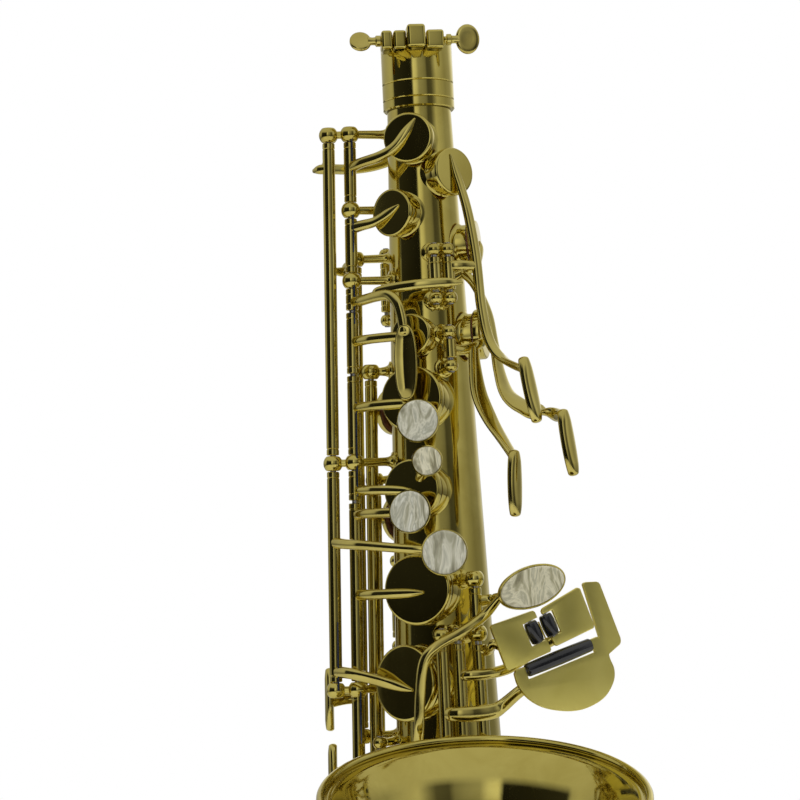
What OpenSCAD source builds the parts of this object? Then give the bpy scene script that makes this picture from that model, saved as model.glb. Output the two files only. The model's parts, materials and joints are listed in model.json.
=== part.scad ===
// Body of an alto-size saxophone, from the neck socket down to the bow and up to the bell.
// Origin at the centre of the neck socket's mouth, +Z up the body tube, bell towards -Y.
// A place on the body is given as (angle, rise, height): the angle runs round the tube from
// -Y towards +X, the rise is the distance out from the tube's outer wall.

/* [Body tube] */
// Outer radius of the body tube just below the neck receiver
neck_r = 13.4; // [13.2:0.1:13.8]
// Half angle of the body tube's cone
taper = 1.78; // [1.75:0.01:1.82]
// Wall thickness of the tubes
wall = 0.8; // [0.6:0.1:1]
// Length of the body tube below the socket's mouth
body_len = 512; // [508:1:514]
// Bore radius of the neck socket
socket_r = 12.25; // [12.2:0.05:12.4]
// Outer radius of the neck receiver
receiver_r = 15; // [14.6:0.1:15.4]

/* [Bow and bell] */
// Radius of the bow's centreline
bow_r = 48; // [48:0.5:50]
// Outer radius of the bell tube where it leaves the bow
bell_low_r = 34.5; // [34:0.5:35]
// Outer radius of the bell tube where the flare starts
flare_start_r = 42; // [41:0.5:42.5]
// Radius of the bell's rim
rim_r = 61.5; // [60:0.5:63]
// Lean of the bell's rim away from the body
rim_lean = 16; // [14:1:18]

/* [Keywork] */
// Diameter of the hinge tubes
tube_d = 5.2; // [5:0.1:5.4]
// Diameter of the steel rods inside the hinge tubes
rod_d = 2.6; // [2.4:0.1:2.8]
// Diameter of the balls on the posts
ball_d = 8; // [7.6:0.1:8.2]
// Angle by which the stack keys stand open
stack_open = 5; // [4:0.5:5.5]
// Angle by which the bell keys stand open
bell_open = 4.5; // [4:0.5:5]
// Diameter of the round finger pearls
pearl_d = 16.5; // [16:0.1:17]

/* [Hidden] */
$fn = 48;

lacquer = [0.72, 0.58, 0.24];
steel = [0.62, 0.62, 0.64];
pearl = [0.87, 0.88, 0.82];
black = [0.05, 0.05, 0.06];
felt = [0.35, 0.12, 0.1];

receiver_len = 28;
clearance = 0.05;
ring_below = 2;
ring_room = 0.6;
pad_gap = 0.15;
pad_depth = 3;
pad_proud = 1;
chimney_rise = 3.2;
lid_rise = chimney_rise + pad_gap + pad_depth + clearance + 1;
bell_y = -2 * bow_r;
stem_len = 152;
flare_len = body_len - stem_len - 305;
arm_sides = 10;

// Hinge lines as [angle, rise]
rod_a = [-80, 17];
rod_b = [-84, 25.5];
side_c_line = [-97, 8.5];
side_bb_line = [-115, 9];
high_e_line = [-103, 14.5];
bb_line = [-8.5, 13.5];
b_line = [2.5, 13.5];
cs_line = [18, 12];
palm_f_line = [14.5, 9];
palm_eb_line = [1, 9];
palm_d_line = [11, 9.5];
gs_line = [-74, 9];
eb_line = [-64, 14];
c_line = [-112, 12];
pip_line = [-140, 8];
thumb_line = [-146, 9];

// Tone holes on the body as [angle, height, cup diameter]
high_fs_hole = [-21, -42.5, 21];
high_e_hole = [-45, -73, 20];
palm_f_hole = [32, -57, 20];
palm_eb_hole = [74, -86, 20];
palm_d_hole = [70, -124, 21];
c_vent_hole = [-23, -124.6, 17];
b_hole = [-25, -151, 27];
side_c_hole = [-140, -153, 20];
bis_hole = [-28, -188, 25];
side_bb_hole = [-150, -198, 22];
a_hole = [-26, -228.5, 29];
g_hole = [-42, -266, 31];
gs_hole = [-42, -303, 26];
fs_hole = [-52, -336, 30];
f_hole = [-52, -370, 32];
e_hole = [-52, -406, 34];
d_hole = [-50, -444, 37];
eb_hole = [-38, -485, 36];
BODY_HOLES = [
    high_fs_hole, high_e_hole, palm_f_hole, palm_eb_hole, palm_d_hole, c_vent_hole, b_hole,
    side_c_hole, bis_hole, side_bb_hole, a_hole, g_hole, gs_hole, fs_hole, f_hole, e_hole,
    d_hole, eb_hole
];

// Tone holes on the bell tube as [angle round the bell, height, cup diameter]
bb_hole = [-120, -388, 47];
low_b_hole = [-120, -441, 44];
cs_hole = [120, -486, 40];

// The left-hand table's plane: its middle, and its turn towards the right
table_at = [33, -36];
table_turn = 15;

// Round finger pearls as [angle, height, rise, diameter]
b_touch = [-14, -160.6, 15.5, pearl_d];
bis_touch = [-9, -177, 14.5, 11.5];
a_touch = [-22, -197, 15.5, pearl_d];
g_touch = [-1, -214, 16.5, pearl_d + 1];
f_touch = [-34, -366, 15.5, pearl_d];
e_touch = [-34, -403, 15.5, pearl_d];
d_touch = [-34, -441, 15.5, pearl_d];

function rb(z) = neck_r + tan(taper) * (-z - receiver_len);
function P(a, h, z) = [(rb(z) + h) * sin(a), -(rb(z) + h) * cos(a), z];
function generator(a) = [-sin(taper) * sin(a), sin(taper) * cos(a), cos(taper)];
function bell_rad(z) = bell_low_r + (flare_start_r - bell_low_r) * (-body_len - z) / -stem_len;
function T(u, z, d = 0) = [
    table_at[0] + u * cos(table_turn) + d * sin(table_turn),
    table_at[1] + u * sin(table_turn) - d * cos(table_turn),
    z
];

// A smooth run through hand-chosen stations [x, y, z, width, thickness]
function spline(a, b, c, d, t) = 0.5 * (2 * b + (c - a) * t + (2 * a - 5 * b + 4 * c - d) * t * t
    + (3 * b - a - 3 * c + d) * t * t * t);
function smooth_run(p, n) = let (last = len(p) - 1) [
    for (i = [0 : last - 1])
        for (k = [0 : n - 1])
            spline(p[max(i - 1, 0)], p[i], p[i + 1], p[min(i + 2, last)], k / n),
    p[last]
];
function xyz(s) = [s[0], s[1], s[2]];
function unit(v) = v / norm(v);
// The ring of points round one station, its thickness pointing away from the axis at axis_y
function ring(s, before, after, axis_y) =
    let (
        t = unit(xyz(after) - xyz(before)),
        out = unit([s[0], s[1] - axis_y, 0.001]),
        side = unit(cross(t, out)),
        up = cross(side, t)
    )
    [
        for (k = [0 : arm_sides - 1])
            let (a = 360 * k / arm_sides)
            xyz(s) + s[3] / 2 * cos(a) * side + s[4] / 2 * sin(a) * up
    ];
// Faces of a stack of rings of n points each, closed at both ends
function stack_faces(rings, n) = concat(
    [for (k = [1 : n - 2]) [0, k + 1, k]],
    [
        for (i = [0 : rings - 2])
            for (k = [0 : n - 1])
                [i * n + k, i * n + (k + 1) % n, (i + 1) * n + (k + 1) % n, (i + 1) * n + k]
    ],
    [for (k = [1 : n - 2]) (rings - 1) * n * [1, 1, 1] + [0, k, k + 1]]
);
function split_quads(faces) = [
    for (f = faces)
        if (len(f) == 4) each [[f[0], f[1], f[2]], [f[0], f[2], f[3]]]
        else f
];

// An arm of oval section through the stations
module arm(stations, n = 3, axis_y = 0) {
    s = smooth_run(stations, n);
    last = len(s) - 1;
    points = [
        for (i = [0 : last])
            each ring(s[i], s[max(i - 1, 0)], s[min(i + 1, last)], axis_y)
    ];
    polyhedron(points, split_quads(stack_faces(last + 1, arm_sides)), convexity = 6);
}

function at(a, h, z, w = 4.4, t = 3.2) = concat(P(a, h, z), [w, t]);
function pt(p, w = 4, t = 3) = concat(p, [w, t]);

// Children drawn with -Y pointing out of the body and +Z along the tube's wall
module on_body(a, z, h = 0)
    rotate([0, 0, a]) translate([0, -(rb(z) + h), z]) rotate([-taper, 0, 0]) children();

// Children drawn with +Z pointing out of the body
module facing(a, z, h = 0)
    on_body(a, z, h) rotate([90, 0, 0]) children();

module bell_facing(hole)
    translate([0, bell_y, hole[1]]) rotate([0, 0, hole[0]])
        translate([0, -bell_rad(hole[1]), 0]) rotate([90, 0, 0]) children();

module line_bar(line, z1, z2, d)
    on_body(line[0], z2, line[1]) cylinder(h = (z1 - z2) / cos(taper), d = d);

// Children turned by an angle about a hinge line
module turned(line, angle) {
    p = P(line[0], line[1], -100);
    translate(p) rotate(a = angle, v = generator(line[0])) translate(-p) children();
}

// A key: its hinge tube between two heights, its other pieces, and the rod's hole through it
module key_on(line, z1, z2, angle = 0)
    turned(line, angle)
        difference() {
            union() {
                line_bar(line, z1, z2, tube_d);
                children();
            }
            line_bar(line, z1 + 0.5, z2 - 0.5, rod_d + 2 * clearance);
        }

// A pad cup with its pad, drawn from the tone hole's crown upwards
module pad_cup(d) {
    rim = chimney_rise + pad_gap + pad_proud;
    inside = lid_rise - 1;
    rotate_extrude()
        polygon([
            [0, inside], [d / 2 - 0.7, inside], [d / 2 - 0.7, rim], [d / 2, rim],
            [d / 2, lid_rise - 0.7], [d / 2 - 0.7, lid_rise], [0, lid_rise + 0.25]
        ]);
    translate([0, 0, chimney_rise + pad_gap])
        cylinder(h = pad_depth, r = d / 2 - 0.7 - clearance);
    translate([0, 0, inside - 2 * clearance])
        cylinder(h = 4 * clearance, r = 1.5);
}

module body_cup(hole) facing(hole[0], hole[1]) pad_cup(hole[2]);
module bell_cup(hole) bell_facing(hole) pad_cup(hole[2]);

// The brass seat of a finger pearl, with a short stem down to the key
module pearl_seat(touch, stem = 5) {
    facing(touch[0], touch[1], touch[2])
        rotate_extrude()
            polygon([
                [0, -1], [touch[3] / 2 - 0.6, -1], [touch[3] / 2 + 0.6, 0.2],
                [touch[3] / 2 + 0.6, 1.3], [touch[3] / 2 + clearance, 1.3],
                [touch[3] / 2 + clearance, 0], [0, 0]
            ]);
    facing(touch[0], touch[1], touch[2] - stem)
        cylinder(h = stem - 0.5, d = 4);
}

// A slightly domed pearl
module round_pearl(touch)
    facing(touch[0], touch[1], touch[2])
        translate([0, 0, clearance])
            rotate_extrude()
                polygon([
                    [0, 0], [touch[3] / 2, 0], [touch[3] / 2, 1.4],
                    [touch[3] / 2 - 0.5, 1.9], [touch[3] / 3, 2.15], [0, 2.25]
                ]);

module chimney(d, down) translate([0, 0, -down]) cylinder(h = down + chimney_rise, d = d - 3);
module tone_hole(d, down) translate([0, 0, -down]) cylinder(h = down + 20, d = d - 5.4);

// The solid cone of the body tube, grown or shrunk by a margin
module body_cone(margin, z1, z2)
    translate([0, 0, z2])
        cylinder(h = z1 - z2, r1 = rb(z2) + margin, r2 = rb(z1) + margin, $fn = 96);

module body_tube() color(lacquer)
    difference() {
        union() {
            body_cone(0, -26, -body_len);
            translate([0, 0, -body_len - ring_below])
                cylinder(h = ring_below + 9, r = rb(-body_len) + 1.8, $fn = 96);
            for (h = BODY_HOLES) facing(h[0], h[1]) chimney(h[2], 7);
            facing(-152, -100) cylinder(h = 8, d = 8, center = true);
        }
        body_cone(-wall, -25, -body_len);
        translate([0, 0, -body_len - 8])
            cylinder(h = 8, r = rb(-body_len) + ring_room, $fn = 96);
        for (h = BODY_HOLES) facing(h[0], h[1]) tone_hole(h[2], 7.5);
        facing(-152, -100) cylinder(h = 20, d = 3, center = true);
    }

// The neck socket: a split sleeve with engraved rings and the clamp's four blocks
lug_y = -17.4;
screw_z = -1.5;
module neck_receiver() color(lacquer)
    difference() {
        union() {
            translate([0, 0, -receiver_len]) cylinder(h = receiver_len, r = receiver_r, $fn = 96);
            for (x = [-13.6, -8.2]) translate([x, lug_y + 1, screw_z]) cube([4.2, 9, 7.6], center = true);
            translate([-1.8, lug_y - 0.4, screw_z + 1.2]) cube([7, 10, 9.6], center = true);
            translate([6.8, lug_y + 1, screw_z]) cube([7.2, 9, 7.6], center = true);
            translate([-13.6, -11, screw_z]) cube([4.2, 9, 7.6], center = true);
        }
        translate([0, 0, -25]) cylinder(h = 40, r = socket_r, $fn = 96);
        translate([0, 0, -30]) cylinder(h = 6, r = neck_r + clearance, $fn = 96);
        for (z = [-17, -24])
            translate([0, 0, z]) rotate_extrude($fn = 96)
                translate([receiver_r, 0]) circle(r = 0.35);
        rotate([0, 0, -47]) translate([-0.6, -receiver_r - 3, -14]) cube([1.2, 8, 30]);
        translate([-11, lug_y, screw_z]) cube([1, 12, 30], center = true);
        translate([-18, lug_y, screw_z]) rotate([0, 90, 0]) cylinder(h = 11, d = 3.1);
        translate([1, lug_y, screw_z]) rotate([0, 90, 0]) cylinder(h = 11, d = 3.1);
        translate([-1.8, lug_y - 1.4, screw_z + 2]) cube([4, 4.6, 12], center = true);
    }

// Thumbscrews, drawn along +X with the shank's end at the origin
module thumb_screw(shank, head_w, head_h) {
    rotate([0, 90, 0]) cylinder(h = shank, d = 3);
    translate([shank - 4.5, 0, 0]) rotate([0, 90, 0]) cylinder(h = 2.2, d = 4.6);
    translate([shank + head_w / 2 - 0.6, 0, 0]) rotate([90, 0, 0])
        linear_extrude(2.4, center = true)
            polygon([for (k = [0 : 31]) [head_w / 2 * cos(k * 11.25), head_h / 2 * sin(k * 11.25)]]);
}
module neck_screw() color(lacquer)
    translate([3, lug_y, screw_z]) thumb_screw(13.4, 10, 12.6);
module lyre_screw() color(lacquer)
    translate([-7, lug_y, screw_z]) rotate([0, 0, 180]) rotate([60, 0, 0])
        thumb_screw(14.2, 9, 9.6);

// Rings of the bow and bell: [y, z, lean, radius]
tube_sides = 40;
function hoop(s) = [
    for (k = [0 : tube_sides - 1])
        let (a = 360 * k / tube_sides)
        [s[3] * cos(a), s[0] + s[3] * sin(a) * cos(s[2]), s[1] + s[3] * sin(a) * sin(s[2])]
];
// A shell whose hoops run up one wall and back down the other
module shell(hoops) {
    n = tube_sides;
    m = len(hoops);
    points = [for (s = hoops) each hoop(s)];
    faces = [
        for (i = [0 : m - 1])
            for (k = [0 : n - 1])
                let (j = (i + 1) % m, l = (k + 1) % n)
                each [[i * n + k, i * n + l, j * n + l], [i * n + k, j * n + l, j * n + k]]
    ];
    polyhedron(points, [for (f = faces) [f[2], f[1], f[0]]], convexity = 10);
}

bow_steps = 15;
bow_start_r = rb(-body_len);
function bow_rad(b) = bow_start_r + (bell_low_r - bow_start_r) * b / 180;
function bow_hoop(b, margin) = [
    -bow_r + bow_r * cos(b), -body_len - bow_r * sin(b), -b, bow_rad(b) + margin
];
c_hole_bend = 38;
c_hole_d = 38;
module bow_facing(rise = 0)
    translate([0, -bow_r + bow_r * cos(c_hole_bend), -body_len - bow_r * sin(c_hole_bend)])
        rotate([0, -90, 0]) translate([0, 0, bow_rad(c_hole_bend) + rise]) children();
// The bend as a solid, run straight on past both ends by a length
module bow_solid(margin, past = 0) {
    lift = [0, past, 0, 0];
    steps = [
        if (past > 0) bow_hoop(0, margin) + lift,
        for (i = [0 : bow_steps]) bow_hoop(180 * i / bow_steps, margin),
        if (past > 0) bow_hoop(180, margin) + lift
    ];
    points = [for (h = steps) each hoop(h)];
    polyhedron(points, split_quads(stack_faces(len(steps), tube_sides)), convexity = 6);
}
module bow() color(lacquer)
    difference() {
        union() {
            bow_solid(0);
            bow_facing() chimney(c_hole_d, 9);
        }
        bow_solid(-wall, 4);
        bow_facing(-20) cylinder(h = 60, d = c_hole_d - 5.4);
    }
module bell_stem() color(lacquer)
    difference() {
        union() {
            translate([0, bell_y, -body_len])
                cylinder(h = stem_len, r1 = bell_low_r, r2 = flare_start_r, $fn = 96);
            translate([0, bell_y, -body_len - ring_below])
                cylinder(h = ring_below + 9, r = bell_low_r + 1.8, $fn = 96);
            for (h = [bb_hole, low_b_hole, cs_hole]) bell_facing(h) chimney(h[2], 11);
        }
        translate([0, bell_y, -body_len - 0.1])
            cylinder(h = stem_len + 0.2, r1 = bell_low_r - wall, r2 = flare_start_r - wall, $fn = 96);
        translate([0, bell_y, -body_len - 8])
            cylinder(h = 8, r = bell_low_r + ring_room, $fn = 96);
        for (h = [bb_hole, low_b_hole, cs_hole]) bell_facing(h) tone_hole(h[2], 12);
    }

// The flare: t runs from 0 at the stem to 1 at the rim
flare_steps = 10;
flare_rise = -305 + body_len - stem_len;
function flare_r(t) = flare_start_r + 2.7 * t + (rim_r - flare_start_r - 2.7) * pow(t, 3.2);
function flare_hoop(t, margin) = [
    bell_y - flare_rise * sin(rim_lean) * pow(t, 2.4) / 2.4,
    -body_len + stem_len + flare_rise * t,
    rim_lean * pow(t, 1.4) - 180,
    flare_r(t) + margin
];
bead_r = 1.6;
function bead_hoop(a) =
    let (top = flare_hoop(1, 0), off = bead_r * sin(a))
    [
        top[0] - off * sin(rim_lean), top[1] + off * cos(rim_lean), top[2],
        rim_r - wall / 2 + bead_r * cos(a)
    ];
module bell() color(lacquer)
    shell(concat(
        [for (i = [0 : flare_steps]) flare_hoop(i / flare_steps * 0.985, 0)],
        [for (a = [-60 : 30 : 240]) bead_hoop(a)],
        [for (i = [flare_steps : -1 : 0]) flare_hoop(i / flare_steps * 0.985, -wall)]
    ));

// Brace between body and bell: a ring held by two legs
brace_z = -372;
module brace_leg(p, q)
    translate([p[0], p[1], brace_z]) rotate([0, 90, atan2(q[1] - p[1], q[0] - p[0])])
        cylinder(h = norm(q - p), d1 = 4.5, d2 = 9);
module bell_brace() color(lacquer)
    difference() {
        union() {
            translate([30, -38, brace_z]) rotate_extrude() translate([11, 0]) circle(d = 4.5, $fn = 24);
            brace_leg([26.6, -28], [17, -10]);
            brace_leg([27, -48], [22, -61]);
        }
        body_cone(clearance, brace_z + 30, brace_z - 30);
        translate([0, bell_y, -body_len])
            cylinder(h = stem_len, r1 = bell_low_r + clearance, r2 = flare_start_r + clearance, $fn = 96);
    }

// A post: a ball with two flats on a turned stem that stands on a round foot
module post(line, z, foot = 999, d = ball_d) {
    foot_a = foot == 999 ? line[0] : foot;
    p = P(line[0], line[1], z);
    q = P(foot_a, -1, z);
    v = p - q;
    on_body(line[0], z, line[1]) intersection() {
        sphere(d = d);
        cylinder(h = d * 0.76, d = d + 1, center = true);
    }
    turn = atan2(v[1], v[0]);
    translate(q) rotate([0, 90, turn]) {
        cylinder(h = norm(v), d = 3.6);
        cylinder(h = 2.4, d = 8);
        translate([0, 0, 2.4]) cylinder(h = 1.4, d1 = 8, d2 = 3.6);
    }
}
// A link that carries an outer hinge line from the post of an inner one
module outrigger(inner, outer, z) {
    p = P(inner[0], inner[1], z);
    q = P(outer[0], outer[1], z);
    v = q - p;
    translate(p) rotate([0, 90, atan2(v[1], v[0])]) cylinder(h = norm(v), d = 3.4);
    on_body(outer[0], z, outer[1]) intersection() {
        sphere(d = ball_d);
        cylinder(h = ball_d * 0.76, d = ball_d + 1, center = true);
    }
}

// Heights of the posts on each hinge line, from the top down
ROD_A_POSTS = [-38, -70, -99.5, -175, -268, -318, -462];
ROD_B_POSTS = [-38, -175, -268];
// Each rod as [line, top, bottom]
RODS = [
    [rod_a, -38, -462], [rod_b, -38, -268],
    [side_c_line, -137, -321], [side_bb_line, -182, -355], [high_e_line, -89, -288],
    [cs_line, -225, -495], [b_line, -247, -453], [bb_line, -247, -399],
    [palm_f_line, -90, -110], [palm_eb_line, -90, -110], [palm_d_line, -124, -138],
    [gs_line, -290, -316], [eb_line, -463, -503], [c_line, -466, -507],
    [pip_line, -86, -114], [thumb_line, -216, -252]
];

module key_posts() color(lacquer)
    difference() {
        union() {
            for (z = ROD_A_POSTS) post(rod_a, z);
            for (z = ROD_B_POSTS) outrigger(rod_a, rod_b, z);
            for (z = [-137, -321]) post(side_c_line, z);
            for (z = [-182, -355]) post(side_bb_line, z);
            for (z = [-89, -288]) post(high_e_line, z, -114.5);
            for (z = [-225, -247, -495]) post(cs_line, z);
            for (z = [-247, -453]) post(b_line, z, d = 6.4);
            for (z = [-247, -399]) post(bb_line, z, d = 6.4);
            for (z = [-90, -110]) {
                post(palm_f_line, z, d = 6);
                post(palm_eb_line, z, d = 6);
            }
            for (z = [-124, -138]) post(palm_d_line, z, d = 6);
            for (z = [-290, -316]) post(gs_line, z, -84, 6);
            for (z = [-463, -503]) post(eb_line, z, -74, 7);
            for (z = [-466, -507]) post(c_line, z, d = 7);
            for (z = [-86, -114]) post(pip_line, z, d = 6);
            for (z = [-216, -252]) post(thumb_line, z, d = 6);
        }
        body_cone(clearance, -29, -body_len + 7);
        translate([0, 0, -body_len - ring_below - clearance])
            cylinder(h = ring_below + 9 + 2 * clearance, r = rb(-body_len) + 1.8 + clearance, $fn = 96);
        for (h = BODY_HOLES) facing(h[0], h[1]) chimney(h[2] + 0.1, 7);
        for (r = RODS) line_bar(r[0], r[1] + 6, r[2] - 6, rod_d + 0.1);
    }

module hinge_rods() color(steel)
    for (r = RODS) line_bar(r[0], r[1] + 2.8, r[2] - 2.8, rod_d);

// Guards over the cups, each a bar on legs with felt stops
module bell_guard(hole, rise) {
    r = bell_rad(hole[1]) + rise;
    span = hole[2] / 2 + 3;
    function g(a, s, z) = [s * sin(a), bell_y - s * cos(a), z];
    arm([
        pt(g(hole[0] - 22, bell_rad(hole[1]) - 0.6, hole[1] + span), 5, 3),
        pt(g(hole[0] - 16, r - 5, hole[1] + span), 5, 3),
        pt(g(hole[0] - 5, r, hole[1] + span * 0.6), 5, 3),
        pt(g(hole[0], r, hole[1]), 7, 3),
        pt(g(hole[0] - 5, r, hole[1] - span * 0.6), 5, 3),
        pt(g(hole[0] - 16, r - 5, hole[1] - span), 5, 3),
        pt(g(hole[0] - 22, bell_rad(hole[1]) - 0.6, hole[1] - span), 5, 3)
    ], 3, bell_y);
}
guard_rise = 18.5;
felt_len = 2.2;
module key_guards() color(lacquer)
    difference() {
        union() {
            for (h = [bb_hole, low_b_hole, cs_hole]) bell_guard(h, guard_rise);
            eb_guard();
        }
        translate([0, bell_y, -body_len])
            cylinder(h = stem_len, r1 = bell_low_r + clearance, r2 = flare_start_r + clearance, $fn = 96);
        translate([0, bell_y, -body_len - ring_below - clearance])
            cylinder(h = ring_below + 9 + 2 * clearance, r = bell_low_r + 1.8 + clearance, $fn = 96);
        body_cone(clearance, -400, -body_len + 7);
    }
module eb_guard() {
    arm([
        at(-8, -0.6, -461, 7, 4), at(-10, 9, -461.5, 5, 3), at(-18, 18.5, -466, 5, 3),
        at(-32, 21.5, -478, 5, 3), at(-38, 21.5, -487, 6, 3)
    ]);
    facing(-38, -485, 20) cylinder(h = 3, d = 8);
}
module guard_felts() color(felt) {
    for (h = [bb_hole, low_b_hole, cs_hole])
        bell_facing(h)
            translate([0, 0, guard_rise - 1.6 - felt_len - clearance])
                cylinder(h = felt_len, d = 7);
    facing(-38, -485, 20 - 2.2 - clearance) cylinder(h = 2.2, d = 6);
}

// Rear fittings
module strap_ring() color(lacquer)
    difference() {
        union() {
            on_body(180, -300, 6.5) rotate([0, 90, 0])
                rotate_extrude() translate([6, 0]) circle(d = 3, $fn = 24);
            on_body(180, -300, 0) cube([5, 3, 22], center = true);
        }
        body_cone(clearance, -280, -320);
    }
module thumb_hook() color(lacquer)
    difference() {
        union() {
            on_body(180, -360, 0) cube([12, 3, 24], center = true);
            arm([
                at(180, 0.4, -366, 8, 4), at(180, 9, -362, 8, 3.4), at(176, 17, -357, 9, 3.2),
                at(170, 22, -352, 10, 3), at(163, 24, -344, 9, 3)
            ], 3);
        }
        body_cone(clearance, -330, -390);
    }
module thumb_rest() color(black)
    difference() {
        facing(180, -238, -2) cylinder(h = 8, d = 18);
        body_cone(clearance, -220, -260);
    }

// Upper stack
module high_fs_key() color(lacquer)
    key_on(rod_a, -41.4, -66.6) {
        body_cup(high_fs_hole);
        arm([
            at(-80, 17, -52, 5.2, 4), at(-66, 14.5, -51), at(-48, 11.5, -49.5),
            at(-34, 9.4, -46, 4, 3), at(-22, 8.2, -40, 3.6, 2.2), at(-12, 7.6, -35, 1, 0.8)
        ]);
    }
module high_e_key() color(lacquer)
    key_on(rod_a, -73.6, -96.2) {
        body_cup(high_e_hole);
        arm([
            at(-80, 17, -77.5, 5, 4), at(-70, 14, -77), at(-60, 10.5, -76, 4, 3),
            at(-46, 8.2, -73, 3.6, 2.2), at(-34, 8.2, -70.5, 1, 0.8)
        ]);
        arm([at(-80, 17, -93, 4, 3.4), at(-86, 18, -93, 4, 3.4), at(-93, 18.6, -93, 3, 3)], 3);
    }
module high_e_lever() color(lacquer)
    key_on(high_e_line, -92.4, -284.6) {
        arm([at(-103, 14.5, -94, 4, 3.2), at(-101, 20, -94, 4, 3), at(-95, 23, -94, 3, 2.4)], 3);
        side_touch(high_e_line, -272, -96, 27);
    }
// A side key's arm and its long oval touch
module side_touch(line, z, a, h) {
    arm([
        at(line[0], line[1], z, 5, 3.6), at((line[0] + a) / 2, (line[1] + h) / 2, z, 5, 3.2),
        at(a, h, z, 7, 3)
    ], 3);
    arm([
        at(a, h, z + 13, 1.4, 1.2), at(a, h, z + 10, 7.5, 2.6), at(a, h + 0.6, z, 8.5, 3.2),
        at(a, h, z - 10, 7.5, 2.6), at(a, h, z - 13, 1.4, 1.2)
    ], 3);
}
module side_c_key() color(lacquer)
    key_on(side_c_line, -140.6, -317.4) {
        body_cup(side_c_hole);
        arm([
            at(-97, 8.5, -152, 4.6, 3.2), at(-112, 8.2, -152.5, 4.4, 3), at(-126, 8, -153, 3.8, 2.4),
            at(-142, 8, -153.5, 1.2, 1)
        ]);
        side_touch(side_c_line, -303, -93, 26);
    }
module side_bb_key() color(lacquer)
    key_on(side_bb_line, -185.6, -351.4) {
        body_cup(side_bb_hole);
        arm([
            at(-115, 9, -196, 4.6, 3.4), at(-128, 8.8, -197, 4.4, 3), at(-140, 8.2, -198, 3.8, 2.4),
            at(-153, 8.2, -198, 1.2, 1)
        ]);
        side_touch(side_bb_line, -338, -97, 27);
    }
module front_f_key() color(lacquer)
    key_on(rod_a, -102.9, -111.8) {
        arm([
            at(-80, 17, -108.5, 4.6, 3.8), at(-66, 15.5, -108.5), at(-48, 15.5, -108),
            at(-36, 16.5, -108.5), at(-29, 17.5, -112, 4.2, 3.2), at(-26, 17.6, -118, 4, 3),
            at(-25, 17.4, -124, 3.6, 2.6)
        ]);
        arm([
            at(-24, 17, -121.5, 2, 1.8), at(-24, 17.8, -126, 6.4, 2.8), at(-24, 18.3, -137, 8.4, 3.2),
            at(-24, 17.8, -147, 7, 2.8), at(-24, 17, -151, 2.2, 1.8)
        ]);
        arm([
            at(-52, 15, -107, 2, 2), at(-46, 15.2, -106, 4, 2.6), at(-20, 15.4, -105, 4.2, 2.4),
            at(6, 15.6, -104.5, 4, 2.4), at(20, 15, -104.5, 1.6, 1.4)
        ]);
    }
module c_vent_key() color(lacquer)
    key_on(rod_a, -112.9, -138.2, -stack_open) {
        body_cup(c_vent_hole);
        arm([
            at(-80, 17, -125, 4.6, 3.6), at(-60, 13.5, -125, 4, 3.2), at(-42, 10.4, -125, 4, 2.8),
            at(-30, 8.4, -125, 3.2, 2.2), at(-21, 7.8, -125, 1, 0.8)
        ]);
    }
module b_key() color(lacquer)
    key_on(rod_a, -139.2, -171.8, -stack_open) {
        body_cup(b_hole);
        arm([
            at(-80, 17, -152.5, 4.6, 3.6), at(-60, 13, -152.5, 4, 3.2), at(-45, 10.4, -152.5, 4, 2.8),
            at(-33, 8.6, -152.5, 3.6, 2.4), at(-25, 7.8, -152.5, 1.2, 1)
        ]);
        pearl_seat(b_touch, 9);
        facing(-18, -157, 6.8) cylinder(h = 4.5, d = 6);
    }
module bis_key() color(lacquer)
    key_on(rod_a, -178.4, -190.6, -stack_open) {
        body_cup(bis_hole);
        arm([
            at(-80, 17, -186.5, 4.6, 3.6), at(-62, 13, -187, 4, 3.2), at(-48, 10.2, -187.5, 4, 2.8),
            at(-36, 8.4, -188, 3.4, 2.4), at(-28, 7.8, -188, 1.2, 1)
        ]);
        pearl_seat(bis_touch, 5);
        arm([
            at(-20, 6.5, -184, 4, 3), at(-15, 9.6, -181, 4, 3), at(-9, 12.4, -177, 4, 2.6)
        ], 3);
    }
module a_key() color(lacquer)
    key_on(rod_a, -191.8, -236.2, -stack_open) {
        body_cup(a_hole);
        arm([
            at(-80, 17, -196.5, 4.6, 3.6), at(-62, 15.8, -196.5, 4, 3.2), at(-42, 14.6, -196.8, 4, 2.8),
            at(-22, 13.8, -197, 3.6, 2.6)
        ]);
        arm([
            at(-80, 17, -229.5, 4.8, 3.8), at(-62, 13.5, -229.5, 4.2, 3.2), at(-46, 10.6, -229.5, 4, 3),
            at(-32, 8.6, -229.5, 3.4, 2.4), at(-20, 8.2, -229.5, 1.2, 1)
        ]);
        pearl_seat(a_touch, 3);
    }
module g_key() color(lacquer)
    key_on(rod_b, -203.5, -264.6, -stack_open + 1) {
        body_cup(g_hole);
        arm([
            at(-84, 25.5, -207.5, 4.6, 4.4), at(-72, 22.5, -208.5, 4.2, 4), at(-56, 19, -209.5, 4, 3.8),
            at(-30, 16, -211.5, 3.8, 3.4), at(-1, 15, -213.5, 3.6, 2.6)
        ]);
        arm([
            at(-84, 25.5, -260.5, 5, 4.2), at(-72, 21.8, -261, 4.6, 3.6), at(-61, 15, -263.5, 4.6, 3.2),
            at(-50, 10, -266, 4.2, 2.8), at(-41, 8.3, -267.5, 3, 2.2), at(-33, 8.2, -268.5, 1.2, 1)
        ]);
        pearl_seat(g_touch, 3);
    }

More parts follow.
